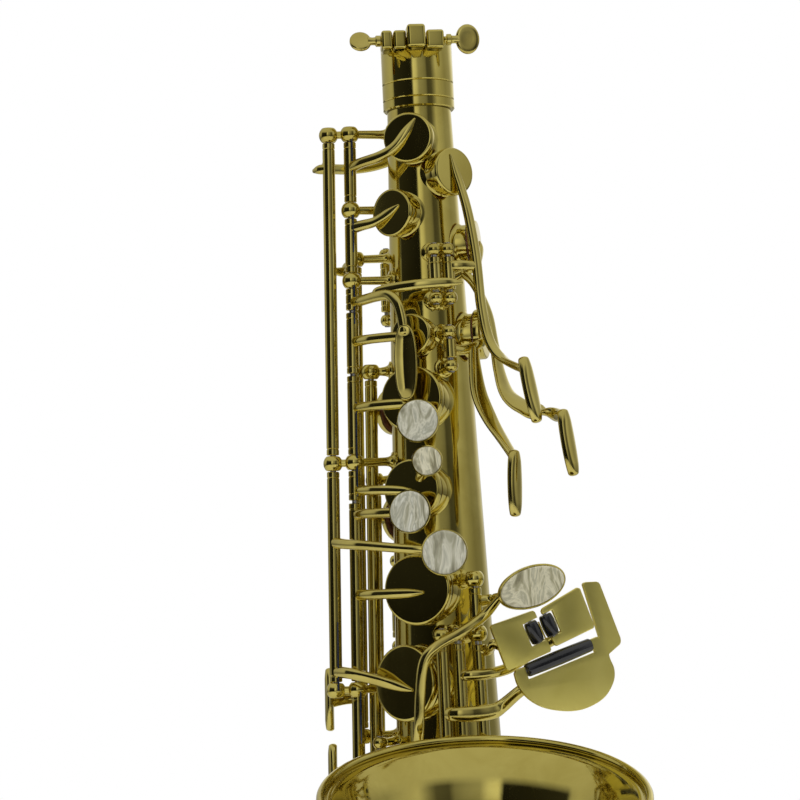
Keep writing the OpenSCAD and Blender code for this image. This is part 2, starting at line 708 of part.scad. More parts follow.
// Octave keys
module octave_ring_key() color(lacquer)
    key_on(rod_b, -41.4, -171.6) {
        arm([
            at(-84, 25.5, -50, 5, 4), at(-98, 26, -50, 4.4, 3.4), at(-118, 20, -49, 4.4, 3),
            at(-140, 13, -47, 4.2, 3), at(-160, 10.4, -43, 4, 3), at(-172, 10, -34, 4, 3),
            pt([-2, 24, -20], 3.6, 3), pt([-2, 24, -4], 3.2, 3), pt([-2, 23, 6], 2.6, 2.6)
        ], 3);
        arm([at(-84, 25.5, -52, 4, 3.6), at(-86, 29, -52, 4, 3.4), at(-90, 31, -52, 2, 2)], 3);
    }
module octave_thumb_key() color(lacquer)
    key_on(thumb_line, -219.6, -248.4) {
        arm([
            at(-146, 9, -223, 4.6, 3.4), at(-156, 9.5, -220, 4.4, 3), at(-166, 9, -217.5, 5, 3)
        ]);
        arm([
            at(-160, 9, -227, 1.4, 1.2), at(-165, 9, -220, 6, 2.6), at(-178, 9, -215, 8, 3),
            at(168, 9, -219, 6, 2.6), at(161, 9, -226, 1.4, 1.2)
        ]);
    }
module octave_pip_key() color(lacquer)
    key_on(pip_line, -89.6, -110.4) {
        facing(-152, -100, 4 + pad_gap) cylinder(h = 2.4, d = 8);
        arm([at(-140, 8, -100, 4, 3), at(-146, 7.6, -100, 4, 2.6), at(-151, 6.4, -100, 4, 2)], 3);
    }

// Palm keys: cup, hinge tube on the front, lever round the right side and touch
module palm_f_key() color(lacquer)
    key_on(palm_f_line, -93.2, -106.8) {
        body_cup(palm_f_hole);
        arm([
            at(27, 7.8, -50, 1, 0.8), at(31, 8.4, -57, 3.4, 2.2), at(34, 9.6, -64, 4, 2.8),
            at(36, 13, -76, 4.4, 3.2), at(38, 16, -94, 4.6, 3.4), at(39, 17, -114, 4.8, 3.4),
            at(40, 19, -130, 4.8, 3.4), at(40, 25, -137, 4.6, 3.2), pt([32, -42, -142], 5, 3)
        ]);
        arm([at(14.5, 9, -97, 5, 3.6), at(24, 13, -97, 4.4, 3.2), at(38, 16.3, -97, 4, 3)], 3);
        palm_touch([32, -43, -137], [36, -46, -164]);
    }
// A palm touch: a long oval spoon whose face looks to the right
module palm_touch(p, q) {
    d = q - p;
    arm([
        pt(p, 2, 2), pt(p + 0.14 * d, 4.2, 11), pt(p + 0.5 * d + [0.6, 0, 0], 4.6, 15),
        pt(p + 0.86 * d, 4, 12), pt(q, 2, 2)
    ], 3);
}
module palm_eb_key() color(lacquer)
    key_on(palm_eb_line, -93.2, -106.8) {
        body_cup(palm_eb_hole);
        arm([
            at(1, 8.4, -100, 4.6, 3.4), at(6, 4.6, -100, 4.2, 2.8), at(14, 3.2, -100.5, 4, 2.6),
            at(28, 3.6, -101, 4, 2.6), at(50, 8, -96, 4, 3), at(66, 8.6, -89, 3.6, 2.4),
            at(76, 7.8, -85, 1.2, 1)
        ]);
        arm([
            at(38, 5.6, -99, 4, 2.6), at(48, 9.6, -104, 4, 3), at(55, 15, -113, 4.4, 3.2),
            at(58, 19, -130, 4.6, 3.2), at(56, 25, -143, 5, 3.2), at(50, 34, -153, 7, 3.2),
            pt([46, -47, -160], 5, 3)
        ]);
        palm_touch([46, -48, -159], [49, -50, -186]);
    }
module palm_d_key() color(lacquer)
    key_on(palm_d_line, -127.2, -134.8) {
        body_cup(palm_d_hole);
        arm([
            at(11, 9.5, -131, 4.6, 3.4), at(26, 8.6, -131.5, 4.2, 3), at(44, 9.4, -129, 4.2, 3),
            at(58, 8.8, -126, 3.6, 2.4), at(72, 7.8, -124, 1.2, 1)
        ]);
        arm([
            at(30, 8.8, -131.5, 4.4, 3), at(34, 11, -146, 4.6, 3), at(36, 16, -160, 4.8, 3),
            at(35, 23, -170, 5, 3), pt([27, -39, -177], 5, 3)
        ]);
        palm_touch([27, -40, -174], [26, -41, -201]);
    }

// Left-hand table
module table_plate(outline, t = 1.8, d = 0)
    translate([table_at[0], table_at[1], 0]) rotate([0, 0, table_turn])
        translate([0, -d, 0]) rotate([90, 0, 0]) linear_extrude(t) polygon(outline);
// A pin or roller seat between two places (u, z) on the table
module table_pin(p, q, d, depth = 0.9) {
    a = T(p[0], p[1], depth);
    b = T(q[0], q[1], depth);
    v = b - a;
    translate(a) rotate([0, acos(v[2] / norm(v)), atan2(v[1], v[0])]) cylinder(h = norm(v), d = d);
}
// A barrel roller between two places on the table
module table_roller(p, q, d, depth = 0.9) {
    a = T(p[0], p[1], depth);
    b = T(q[0], q[1], depth);
    v = b - a;
    l = norm(v);
    translate(a) rotate([0, acos(v[2] / l), atan2(v[1], v[0])])
        rotate_extrude()
            polygon([
                [0.85, 0], [d / 2 - 0.9, 0], [d / 2 - 0.4, 0.5], [d / 2 - 0.1, l / 4], [d / 2, l / 2],
                [d / 2 - 0.1, 3 * l / 4], [d / 2 - 0.4, l - 0.5], [d / 2 - 0.9, l], [0.85, l]
            ]);
}
roller_d = 6;
cs_roller_ends = [[-3.1, -243.2], [0.3, -251.6]];
b_roller_ends = [[3.6, -240.6], [7, -249]];
bb_roller_ends = [[-5.6, -262.6], [23.4, -253.6]];
function grown(e, m) = let (v = unit(e[1] - e[0])) [e[0] - m * v, e[1] + m * v];
// The slot a roller turns in, cut through a plate
module slot_cut(e, d) {
    v = unit(e[1] - e[0]);
    n = [-v[1], v[0]] * (d / 2 + 0.5);
    g = grown(e, 0.35);
    table_plate([g[0] + n, g[1] + n, g[1] - n, g[0] - n], 12, -6);
}
module low_cs_key() color(lacquer)
    key_on(cs_line, -251.4, -491) {
        difference() {
            table_plate([
                [-20.3, -244.6], [-19.6, -243.6], [-1.8, -238.8], [-0.9, -239.4], [5.4, -254.6],
                [4.9, -255.6], [-13.4, -262], [-14.4, -261.4]
            ]);
            slot_cut([cs_roller_ends[0], cs_roller_ends[1]], roller_d);
        }
        for (g = [grown(cs_roller_ends, 1.2)]) table_pin(g[0], g[1], 1.6);
        arm([
            at(18, 12, -254, 4.6, 3.4), at(22, 17, -253.5, 4.4, 3), pt(T(-18, -251.5, -0.6), 5, 2.6),
            pt(T(-10, -250.5, -0.4), 4, 2)
        ], 3);
        bell_cup(cs_hole);
        arm([
            at(18, 12, -480, 4.8, 3.6), pt([22, -44, -481], 4.6, 3.6), pt([30.5, -54.5, -483], 4.6, 3.2),
            pt([34.2, -63.6, -485], 4.2, 2.8), pt([38.1, -73.9, -486], 3.2, 2),
            pt([40.8, -79.5, -486], 1.2, 1)
        ], 3, bell_y);
    }
module low_b_key() color(lacquer)
    key_on(b_line, -250.6, -449.4) {
        difference() {
            table_plate([
                [2, -239.2], [2.6, -238], [18.4, -230.4], [19.7, -230.9], [25, -245.6],
                [24.9, -247.1], [8.2, -253.4], [7.2, -253.2]
            ]);
            slot_cut([b_roller_ends[0], b_roller_ends[1]], roller_d);
        }
        for (g = [grown(b_roller_ends, 1.2)]) table_pin(g[0], g[1], 1.6);
        arm([
            at(2.5, 13.5, -263, 4.8, 3.6), at(8, 17.6, -263.3, 4.4, 3.2), at(19, 18.4, -263, 4.4, 3.2),
            pt([21, -33.6, -261.5], 4.6, 3.2), pt([28, -31, -258], 4.8, 3), pt([37, -29.6, -253], 5, 2.8),
            pt(T(14, -248, -0.9), 5, 2.6), pt(T(17, -244, -0.4), 4, 2)
        ], 3);
        turned(b_line, -bell_open) {
            bell_cup(low_b_hole);
            arm([
                at(2.5, 13.5, -426, 4.8, 3.6), pt([-16, -46, -428], 4.6, 3.6),
                pt([-31.4, -51.8, -434], 4.6, 3.2), pt([-35.6, -61.6, -439], 4.2, 2.8),
                pt([-39.9, -72.9, -441], 3.2, 2), pt([-42.6, -78.4, -441], 1.2, 1)
            ], 3, bell_y);
        }
    }
module low_bb_key() color(lacquer)
    key_on(bb_line, -250.6, -395.4) {
        difference() {
            table_plate([
                [20.9, -229.4], [22.4, -228.4], [27, -228.4], [28.6, -229.6], [36.6, -251.6],
                [36.4, -254.2], [30.4, -258.6], [33, -264], [32.6, -268.6], [29.6, -273.6],
                [25.4, -276.8], [19, -279.2], [12.6, -279.8], [6, -279], [0, -277.2],
                [-5.4, -273.8], [-9.4, -268.8], [-11, -263.6], [-10.4, -262.2], [26.2, -250.6],
                [27.2, -251.6]
            ]);
            slot_cut([bb_roller_ends[0], bb_roller_ends[1]], roller_d);
        }
        for (g = [grown(bb_roller_ends, 1.2)]) table_pin(g[0], g[1], 1.6);
        arm([
            at(-8.5, 13.5, -278, 4.8, 3.6), at(-3, 17.8, -278.3, 4.4, 3.2), at(7, 19, -278.5, 4.4, 3.2),
            at(20, 18.6, -278, 4.4, 3.2), pt([18, -36, -276], 4.6, 3.2), pt(T(-7, -270, -0.8), 5, 2.8),
            pt(T(0, -268, -0.4), 5, 2)
        ], 3);
        turned(bb_line, -bell_open) {
            bell_cup(bb_hole);
            arm([
                at(-8.5, 13.5, -388, 4.8, 3.6), pt([-20, -45, -388], 4.6, 3.6),
                pt([-33, -49.6, -388], 4.6, 3.2), pt([-38, -60.2, -388], 4.2, 2.8),
                pt([-42.2, -71.6, -388], 3.2, 2), pt([-45, -77.2, -388], 1.2, 1)
            ], 3, bell_y);
        }
    }
gs_oval = [30.4, 16.8];
gs_oval_turn = 15.5;
function oval(w, h) = [
    for (k = [0 : 47])
        let (a = 7.5 * k, x = w / 2 * cos(a), y = h / 2 * sin(a))
        [
            -1.5 + x * cos(gs_oval_turn) - y * sin(gs_oval_turn),
            -229.2 + x * sin(gs_oval_turn) + y * cos(gs_oval_turn)
        ]
];
module gs_touch() color(lacquer)
    key_on(cs_line, -228.6, -243.6) {
        difference() {
            table_plate(oval(gs_oval[0], gs_oval[1]), 2.2);
            table_plate(oval(gs_oval[0] - 1.6, gs_oval[1] - 1.6), 4, 1);
        }
        arm([
            at(18, 12, -234.4, 4.8, 3.4), at(28, 15, -233.6, 4.5, 3.1), pt(T(-14, -233, -1.3), 4.8, 2.9),
            pt(T(-6, -231, -0.4), 4.6, 2)
        ], 3);
        arm([
            pt(T(-15, -233, -0.6), 3, 2.6), pt([12, -36, -240], 4.2, 3.6), pt([2, -39.6, -246], 4.2, 3.8),
            pt([-8, -41.4, -251], 4.2, 3.8), pt([-13.4, -41, -257], 4.2, 3.8),
            pt([-15.4, -39.6, -270], 4.2, 3.8), pt([-16.4, -38.4, -284], 4.2, 3.6),
            pt([-17, -34, -291], 4, 3.4), pt([-17.6, -27, -295], 3, 2.6)
        ]);
    }
module gs_pearl() color(pearl)
    table_plate(oval(gs_oval[0] - 1.8, gs_oval[1] - 1.8), 1.9, 1 + clearance);
module gs_key() color(lacquer)
    key_on(gs_line, -293.6, -312.4) {
        body_cup(gs_hole);
        arm([
            at(-74, 9, -303, 5, 3.2), at(-64, 9.2, -303, 4.4, 2.8), at(-52, 8.2, -303, 3.6, 2.2),
            at(-42, 7.8, -303, 1.2, 1)
        ]);
    }

// Lower stack: each key is a tube on the same rod with its cup and pearl
module lower_key(hole, touch, z1, z2, arm_z)
    key_on(rod_a, z1, z2, -stack_open - 1) {
        body_cup(hole);
        arm([
            at(-80, 17, arm_z, 5, 4), at(-72, 13.5, arm_z, 4.6, 3.2), at(-62, 9.4, hole[1], 4.4, 2.8),
            at(hole[0], 8, hole[1], 3, 1.8), at(hole[0] + 8, 7.8, hole[1], 1.2, 1)
        ]);
        if (touch[3] > 0) {
            pearl_seat(touch, 6);
            arm([
                at(hole[0] + 2, 7, touch[1], 5, 3), at(hole[0] + 10, 10.2, touch[1], 4.6, 3),
                at(touch[0], 13.2, touch[1], 4.4, 2.6)
            ], 3);
        }
    }
no_touch = [0, 0, 0, 0];
module fs_key() color(lacquer) lower_key(fs_hole, no_touch, -321.4, -349.6, -336);
module f_key() color(lacquer) lower_key(f_hole, f_touch, -350.6, -386.4, -370);
module e_key() color(lacquer) lower_key(e_hole, e_touch, -387.4, -423.4, -406);
module d_key() color(lacquer) lower_key(d_hole, d_touch, -424.4, -458.6, -444);

// Low E flat and low C: cups at the bottom, touches side by side with rollers
pinky_x = -52;
pinky_y = 3;
module pinky_plate(z1, z2, slot_z) {
    difference() {
        translate([pinky_x, pinky_y, (z1 + z2) / 2]) cube([2.4, 20, z1 - z2], center = true);
        translate([pinky_x, pinky_y, slot_z]) cube([8, 17.4, roller_d + 0.8], center = true);
    }
    translate([pinky_x, pinky_y - 9.2, slot_z]) rotate([-90, 0, 0]) cylinder(h = 18.4, d = 1.6);
}
module pinky_roller(slot_z)
    translate([pinky_x, pinky_y - 8.3, slot_z]) rotate([-90, 0, 0])
        rotate_extrude()
            polygon([
                [0.85, 0], [roller_d / 2 - 0.6, 0], [roller_d / 2, 1.4], [roller_d / 2, 15.2],
                [roller_d / 2 - 0.6, 16.6], [0.85, 16.6]
            ]);
eb_slot_z = -474.6;
c_slot_z = -484;
module low_eb_key() color(lacquer)
    key_on(eb_line, -466.9, -499.1) {
        body_cup(eb_hole);
        arm([
            at(-64, 14, -486, 4.8, 3.4), at(-56, 11.5, -486, 4.6, 3), at(-48, 8.6, -485, 4, 2.4),
            at(-36, 7.8, -485, 1.2, 1)
        ]);
        pinky_plate(-454, -478.6, eb_slot_z);
        arm([
            at(-64, 14, -471.5, 4.8, 3.4), at(-72, 19.5, -471.5, 4.8, 3.2), at(-80, 23, -470, 4.6, 3),
            pt([pinky_x + 1, pinky_y - 5, -466.6], 4.4, 3)
        ], 3);
    }
module low_c_key() color(lacquer)
    turned(c_line, -4)
        difference() {
            union() {
                line_bar(c_line, -469.9, -503.1, tube_d);
                bow_facing() pad_cup(c_hole_d);
                pinky_plate(-480, -502, c_slot_z);
                arm([
                    at(-112, 12, -487, 4.8, 3.4), at(-102, 16, -490, 4.8, 3.2), at(-96, 21, -493, 5, 3),
                    pt([pinky_x + 1, pinky_y + 4, -494.5], 5, 3)
                ], 3);
                arm([
                    at(-112, 12, -496, 4.8, 3.6), pt([-45, 15, -504], 4.8, 3.4),
                    pt([-45, 10, -520], 4.8, 3.2),
                    pt([-40.1, -2, -534], 4.4, 2.8), pt([-37.4, -11, -541], 1.4, 1)
                ], 3);
            }
            line_bar(c_line, -469.4, -503.6, rod_d + 2 * clearance);
        }

module cs_roller() color(black) table_roller(cs_roller_ends[0], cs_roller_ends[1], roller_d);
module b_roller() color(black)
    table_roller(b_roller_ends[0], b_roller_ends[1], roller_d);
module bb_roller() color(black)
    table_roller(bb_roller_ends[0], bb_roller_ends[1], roller_d);
module eb_roller() color(black) pinky_roller(eb_slot_z);
module c_roller() color(black) turned(c_line, -4) pinky_roller(c_slot_z);

module b_pearl() color(pearl) turned(rod_a, -stack_open) round_pearl(b_touch);
module bis_pearl() color(pearl) turned(rod_a, -stack_open) round_pearl(bis_touch);
module a_pearl() color(pearl) turned(rod_a, -stack_open) round_pearl(a_touch);
module g_pearl() color(pearl) turned(rod_b, -stack_open + 1) round_pearl(g_touch);
module f_pearl() color(pearl) turned(rod_a, -stack_open - 1) round_pearl(f_touch);
module e_pearl() color(pearl) turned(rod_a, -stack_open - 1) round_pearl(e_touch);
module d_pearl() color(pearl) turned(rod_a, -stack_open - 1) round_pearl(d_touch);

body_tube();
neck_receiver();
bow();
bell_stem();
bell();
bell_brace();
key_posts();
hinge_rods();
key_guards();
guard_felts();
strap_ring();
thumb_hook();
thumb_rest();
neck_screw();
lyre_screw();
high_fs_key();
high_e_key();
high_e_lever();
side_c_key();
side_bb_key();
palm_f_key();
palm_eb_key();
palm_d_key();
front_f_key();
octave_ring_key();
octave_thumb_key();
octave_pip_key();
c_vent_key();
b_key();
bis_key();
a_key();
g_key();
gs_touch();
gs_key();
low_cs_key();
low_b_key();
low_bb_key();
fs_key();
f_key();
e_key();
d_key();
low_eb_key();
low_c_key();
cs_roller();
b_roller();
bb_roller();
eb_roller();
c_roller();
b_pearl();
bis_pearl();
a_pearl();
g_pearl();
gs_pearl();
f_pearl();
e_pearl();
d_pearl();
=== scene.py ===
"""The looks of an alto-size saxophone body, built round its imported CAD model.

Lengths are in millimetres until a mesh is made, and every place on the body tube is given as
(angle, rise, height): the angle runs round the tube from -Y towards +X, the rise is the
distance out from the tube's outer wall, and the height is Z.
"""

import json
from math import asin, copysign, cos, degrees, pi, radians, sin, sqrt, tan

import bmesh
import bpy
import numpy as np
from mathutils import Matrix, Vector


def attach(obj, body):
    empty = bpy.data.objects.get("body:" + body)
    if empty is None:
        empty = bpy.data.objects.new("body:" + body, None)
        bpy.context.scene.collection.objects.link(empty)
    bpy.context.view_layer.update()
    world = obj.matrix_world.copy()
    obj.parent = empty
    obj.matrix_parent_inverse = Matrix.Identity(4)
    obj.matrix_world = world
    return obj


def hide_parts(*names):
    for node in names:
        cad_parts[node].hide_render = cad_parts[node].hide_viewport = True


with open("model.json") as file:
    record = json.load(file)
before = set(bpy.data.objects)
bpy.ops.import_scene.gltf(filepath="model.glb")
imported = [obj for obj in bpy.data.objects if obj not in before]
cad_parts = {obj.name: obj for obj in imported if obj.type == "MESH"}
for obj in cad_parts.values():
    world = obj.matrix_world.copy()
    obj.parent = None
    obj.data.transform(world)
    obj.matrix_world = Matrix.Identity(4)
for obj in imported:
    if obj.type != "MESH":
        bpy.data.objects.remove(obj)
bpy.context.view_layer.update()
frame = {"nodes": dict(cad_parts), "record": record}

MM = 0.001
NECK_R = 13.4
TAPER = radians(1.78)
WALL = 0.8
BODY_LEN = 512
RECEIVER_LEN = 28
RECEIVER_R = 15
BOW_R = 48
BELL_Y = -2 * BOW_R
BELL_LOW_R = 34.5
FLARE_START_R = 42
RIM_R = 61.5
RIM_LEAN = radians(16)
RIM_SIDES = 192
BEAD_R = 1.6
STEM_LEN = 152
FLARE_RISE = BODY_LEN - STEM_LEN - 305
TUBE_D = 5.2
ROD_D = 2.6
BALL_D = 8
STACK_OPEN = 5
BELL_OPEN = 4.5
PEARL_D = 16.5
CLEARANCE = 0.05
PAD_GAP = 0.15
PAD_DEPTH = 3
CHIMNEY_RISE = 3.2
LID_RISE = CHIMNEY_RISE + PAD_GAP + PAD_DEPTH + CLEARANCE + 1
TABLE_AT = (33, -36)
TABLE_TURN = radians(15)


# ---- places
def rb(z):
    return NECK_R + tan(TAPER) * (-z - RECEIVER_LEN)


def bell_rad(z):
    return BELL_LOW_R + (FLARE_START_R - BELL_LOW_R) * (z + BODY_LEN) / STEM_LEN


def P(a, h, z):
    r, a = rb(z) + h, radians(a)
    return (r * sin(a), -r * cos(a), z)


def T(u, z, d=0):
    """A point on the left-hand table: across, height, and depth in front of its plane."""
    c, s = cos(TABLE_TURN), sin(TABLE_TURN)
    return (TABLE_AT[0] + u * c + d * s, TABLE_AT[1] + u * s - d * c, z)


def at(a, h, z, w=4.4, t=3.2):
    """A station of a bar, measured from the tube: its place, width and thickness."""
    return (*P(a, h, z), w, t)


def pt(p, w, t):
    """A station of a lever at a point of its own, not measured from the tube."""
    return np.array((*p, w, t), float)


def move(x, y, z):
    return Matrix.Translation((x, y, z))


def spin(angle, axis):
    return Matrix.Rotation(radians(angle), 4, axis)


def on_body(a, z, h=0):
    """-Y points out of the body and +Z runs along the tube's wall."""
    return spin(a, "Z") @ move(0, -(rb(z) + h), z) @ Matrix.Rotation(-TAPER, 4, "X")


def facing(a, z, h=0):
    """+Z points out of the body."""
    return on_body(a, z, h) @ spin(90, "X")


def bell_facing(hole):
    return (
        move(0, BELL_Y, hole[1]) @ spin(hole[0], "Z") @ move(0, -bell_rad(hole[1]), 0)
        @ spin(90, "X")
    )


def low_c_place():
    """The middle of the bow at the low C hole, and how far its wall is from there."""
    start = rb(-BODY_LEN)
    y, z = BOW_R * cos(LOW_C_BEND) - BOW_R, -BODY_LEN - BOW_R * sin(LOW_C_BEND)
    return move(0, y, z) @ spin(-90, "Y"), start + (BELL_LOW_R - start) * LOW_C_BEND / pi


def generator(a):
    a = radians(a)
    return Vector((
        -sin(TAPER) * sin(a), sin(TAPER) * cos(a), cos(TAPER)
    ))


def turned(line, angle):
    p = Vector(P(line[0], line[1], -100))
    turn = Matrix.Rotation(radians(angle), 4, generator(line[0]))
    return Matrix.Translation(p) @ turn @ Matrix.Translation(-p)


def between(p, q):
    """+Z runs from p towards q, with p at the origin."""
    p, q = Vector(p), Vector(q)
    return Matrix.Translation(p) @ (q - p).to_track_quat("Z", "Y").to_matrix().to_4x4()


# ---- shapes: (points, faces)
def offset(r, z, *steps):
    """Points of a profile, given from the point (r, z)."""
    return [(r + out, z + up) for out, up in steps]


def lathe(profile, sides=64):
    """A profile of (radius, height) turned about Z. A radius of nothing closes on the axis."""
    points, rows = [], []
    for r, z in profile:
        if r < 1e-6:
            rows.append([len(points)] * sides)
            points.append((0, 0, z))
        else:
            rows.append([len(points) + k for k in range(sides)])
            points += [
                (r * cos(2 * pi * k / sides), r * sin(2 * pi * k / sides), z)
                for k in range(sides)
            ]
    faces = []
    for a, b in zip(rows, rows[1:]):
        for k in range(sides):
            j = (k + 1) % sides
            ring = [a[k], a[j], b[j], b[k]]
            face = [v for i, v in enumerate(ring) if v != ring[i - 1]]
            if len(face) > 2:
                faces.append(face)
    return points, faces


def spline(stations, steps):
    p = np.array(stations, float)
    last, out = len(p) - 1, []
    for i in range(last):
        a, b, c, d = p[max(i - 1, 0)], p[i], p[i + 1], p[min(i + 2, last)]
        for k in range(steps):
            t = k / steps
            out.append(0.5 * (
                2 * b + (c - a) * t + (2 * a - 5 * b + 4 * c - d) * t * t
                + (3 * b - a - 3 * c + d) * t ** 3
            ))
    out.append(p[last])
    return np.array(out)


def sweep(stations, sides=20, steps=7, axis_y=0):
    """A bar of oval section through stations (x, y, z, width, thickness), its ends rounded.
    Its thickness points away from the vertical axis at axis_y."""
    s = spline(stations, steps)
    n = len(s)
    rings = []
    for i in range(n):
        t = s[min(i + 1, n - 1), :3] - s[max(i - 1, 0), :3]
        t /= np.linalg.norm(t)
        out = np.array([s[i, 0], s[i, 1] - axis_y, 0.001])
        side = np.cross(t, out)
        side /= np.linalg.norm(side)
        up = np.cross(side, t)
        ends = [(0, 1)]
        if i == 0:
            ends = [(-sin(e), cos(e)) for e in (1.4, 1.1, 0.75, 0.4)] + ends
        if i == n - 1:
            ends = ends + [(sin(e), cos(e)) for e in (0.4, 0.75, 1.1, 1.4)]
        for along, grow in ends:
            centre = s[i, :3] + t * along * s[i, 4] * 0.45
            ring = []
            for k in range(sides):
                a = 2 * pi * k / sides
                x, y = cos(a), sin(a)
                x = copysign(abs(x) ** 0.86, x)
                y = copysign(abs(y) ** 0.86, y)
                ring.append(centre + s[i, 3] / 2 * x * side * grow + s[i, 4] / 2 * y * up * grow)
            rings.append(ring)
    return hoops(rings, capped=True)


def hoops(rings, closed=False, capped=False):
    """A skin over rings of points of the same length."""
    n, m = len(rings[0]), len(rings)
    points = [tuple(p) for r in rings for p in r]
    faces = []
    for i in range(m if closed else m - 1):
        for k in range(n):
            j, l = (i + 1) % m, (k + 1) % n
            faces.append([i * n + k, i * n + l, j * n + l, j * n + k])
    if capped:
        faces += [list(range(n))[::-1], [(m - 1) * n + k for k in range(n)]]
    return points, faces


# ---- pieces
# The key that is being built: its node, line, turn and the number of its arms
KEY = {}


def make(name, shape, body, look, matrix=None, crease=38, nodes=()):
    """One piece of the object: its mesh, body and material."""
    points, faces = shape
    mesh = bpy.data.meshes.new(name)
    mesh.from_pydata([Vector(p) for p in points], [], faces)
    mesh.transform(Matrix.Scale(MM, 4) @ (matrix or Matrix.Identity(4)))
    mesh.validate()
    bm_fix(mesh)
    mesh.shade_smooth()
    mesh.set_sharp_from_angle(angle=radians(crease))
    o = bpy.data.objects.new(name, mesh)
    bpy.context.scene.collection.objects.link(o)
    material, slot = LOOKS[look]
    mesh.materials.append(material)
    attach(o, body)
    if nodes:
        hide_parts(*nodes)
    return o


def fixed(name, shape, node, matrix=None, look="body", **more):
    """A piece that stays with the body of the instrument."""
    return make(name, shape, "horn", look, matrix, nodes=[node], **more)


def bm_fix(mesh):
    """Welds points that meet and turns every face outwards."""
    bm = bmesh.new()
    bm.from_mesh(mesh)
    bmesh.ops.remove_doubles(bm, verts=bm.verts, dist=1e-7)
    bmesh.ops.recalc_face_normals(bm, faces=bm.faces)
    bm.to_mesh(mesh)
    bm.free()


# ---- looks
def nodes_of(name):
    m = bpy.data.materials.new(name)
    m.use_nodes = True
    t = m.node_tree
    shader = t.nodes["Principled BSDF"]
    place = t.nodes.new("ShaderNodeTexCoord")
    return m, t, shader, place.outputs["Object"]


def noise(t, place, scale, detail=3, rough=0.5, distort=0.0, stretch=None):
    if stretch:
        m = t.nodes.new("ShaderNodeMapping")
        m.inputs["Scale"].default_value = stretch[:3]
        if len(stretch) > 3:
            m.inputs["Rotation"].default_value = stretch[3:]
        t.links.new(place, m.inputs["Vector"])
        place = m.outputs["Vector"]
    n = t.nodes.new("ShaderNodeTexNoise")
    n.inputs["Scale"].default_value = scale
    n.inputs["Detail"].default_value = detail
    n.inputs["Roughness"].default_value = rough
    n.inputs["Distortion"].default_value = distort
    t.links.new(place, n.inputs["Vector"])
    return n.outputs["Fac"]


def ramp(t, fac, stops):
    r = t.nodes.new("ShaderNodeValToRGB")
    e = r.color_ramp.elements
    while len(e) < len(stops):
        e.new(0.5)
    for i, (at_, colour) in enumerate(stops):
        e[i].position = at_
        e[i].color = (*colour, 1)
    t.links.new(fac, r.inputs["Fac"])
    return r.outputs["Color"]


def ranged(t, fac, low, high, a=0.3, b=0.7):
    m = t.nodes.new("ShaderNodeMapRange")
    m.inputs["From Min"].default_value = a
    m.inputs["From Max"].default_value = b
    m.inputs["To Min"].default_value = low
    m.inputs["To Max"].default_value = high
    t.links.new(fac, m.inputs["Value"])
    return m.outputs["Result"]


def bump(t, shader, height, strength, distance):
    b = t.nodes.new("ShaderNodeBump")
    b.inputs["Strength"].default_value = strength
    b.inputs["Distance"].default_value = distance
    t.links.new(height, b.inputs["Height"])
    t.links.new(b.outputs["Normal"], shader.inputs["Normal"])


def surface(t, shader, colour_from, stops, rough_from, low, high):
    t.links.new(ramp(t, colour_from, stops), shader.inputs["Base Color"])
    t.links.new(ranged(t, rough_from, low, high), shader.inputs["Roughness"])


def brass(name, light, dark, rough, wave=0.00002, spread=1.7):
    """Polished lacquered brass: slow colour changes, faint wipe marks and a lacquer ripple."""
    m, t, s, place = nodes_of(name)
    s.inputs["Metallic"].default_value = 1
    slow = noise(t, place, 38, 4, 0.6, 0.6)
    marks = noise(t, place, 260, 3, 0.65, stretch=(1, 1, 0.25))
    surface(t, s, slow, [(0.3, dark), (0.62, light)], marks, rough * (2.3 - spread), rough * spread)
    bump(t, s, noise(t, place, 300, 2, 0.4), 0.5, wave)
    return m


def steel(name, colour, rough):
    m, t, s, place = nodes_of(name)
    s.inputs["Metallic"].default_value = 1
    turned_marks = noise(t, place, 900, 3, 0.6, stretch=(0.2, 0.2, 4))
    stops = [(0.3, tuple(c * 0.7 for c in colour)), (0.7, colour)]
    surface(t, s, turned_marks, stops, turned_marks, rough * 0.7, rough * 1.5)
    bump(t, s, turned_marks, 0.3, 0.00002)
    return m


def shell_pearl(name, turn, warm):
    """Mother-of-pearl: soft streaks of grey, green and cream under a clear polish."""
    m, t, s, place = nodes_of(name)
    streaks = noise(t, place, 95, 4, 0.58, 2.6, stretch=(1.0, 1.0, 0.34, 0.2, turn, 0.3))
    colours = [
        (0.34, (0.26, 0.25, 0.17)), (0.43, (0.46, 0.45, 0.33)), (0.50, (0.74, 0.73, 0.60)),
        (0.57, (0.44, 0.44, 0.34)), (0.66, (0.80, 0.80, 0.70)),
    ]
    colours = [(p, tuple(c * k for c, k in zip(q, warm))) for p, q in colours]
    fine = noise(t, place, 700, 3, 0.6, stretch=(1, 1, 0.3))
    surface(t, s, streaks, colours, fine, 0.12, 0.26)
    s.inputs["Coat Weight"].default_value = 0.6
    s.inputs["Coat Roughness"].default_value = 0.04
    s.inputs["Sheen Weight"].default_value = 0.15
    bump(t, s, streaks, 0.12, 0.0002)
    return m


def leather(name):
    m, t, s, place = nodes_of(name)
    blotch = noise(t, place, 160, 5, 0.65, 0.4)
    grain = noise(t, place, 1900, 3, 0.6)
    surface(t, s, blotch, [
        (0.3, (0.075, 0.022, 0.010)), (0.55, (0.17, 0.055, 0.022)), (0.75, (0.26, 0.10, 0.045))
    ], grain, 0.4, 0.62)
    s.inputs["Sheen Weight"].default_value = 0.1
    bump(t, s, grain, 0.6, 0.00012)
    return m


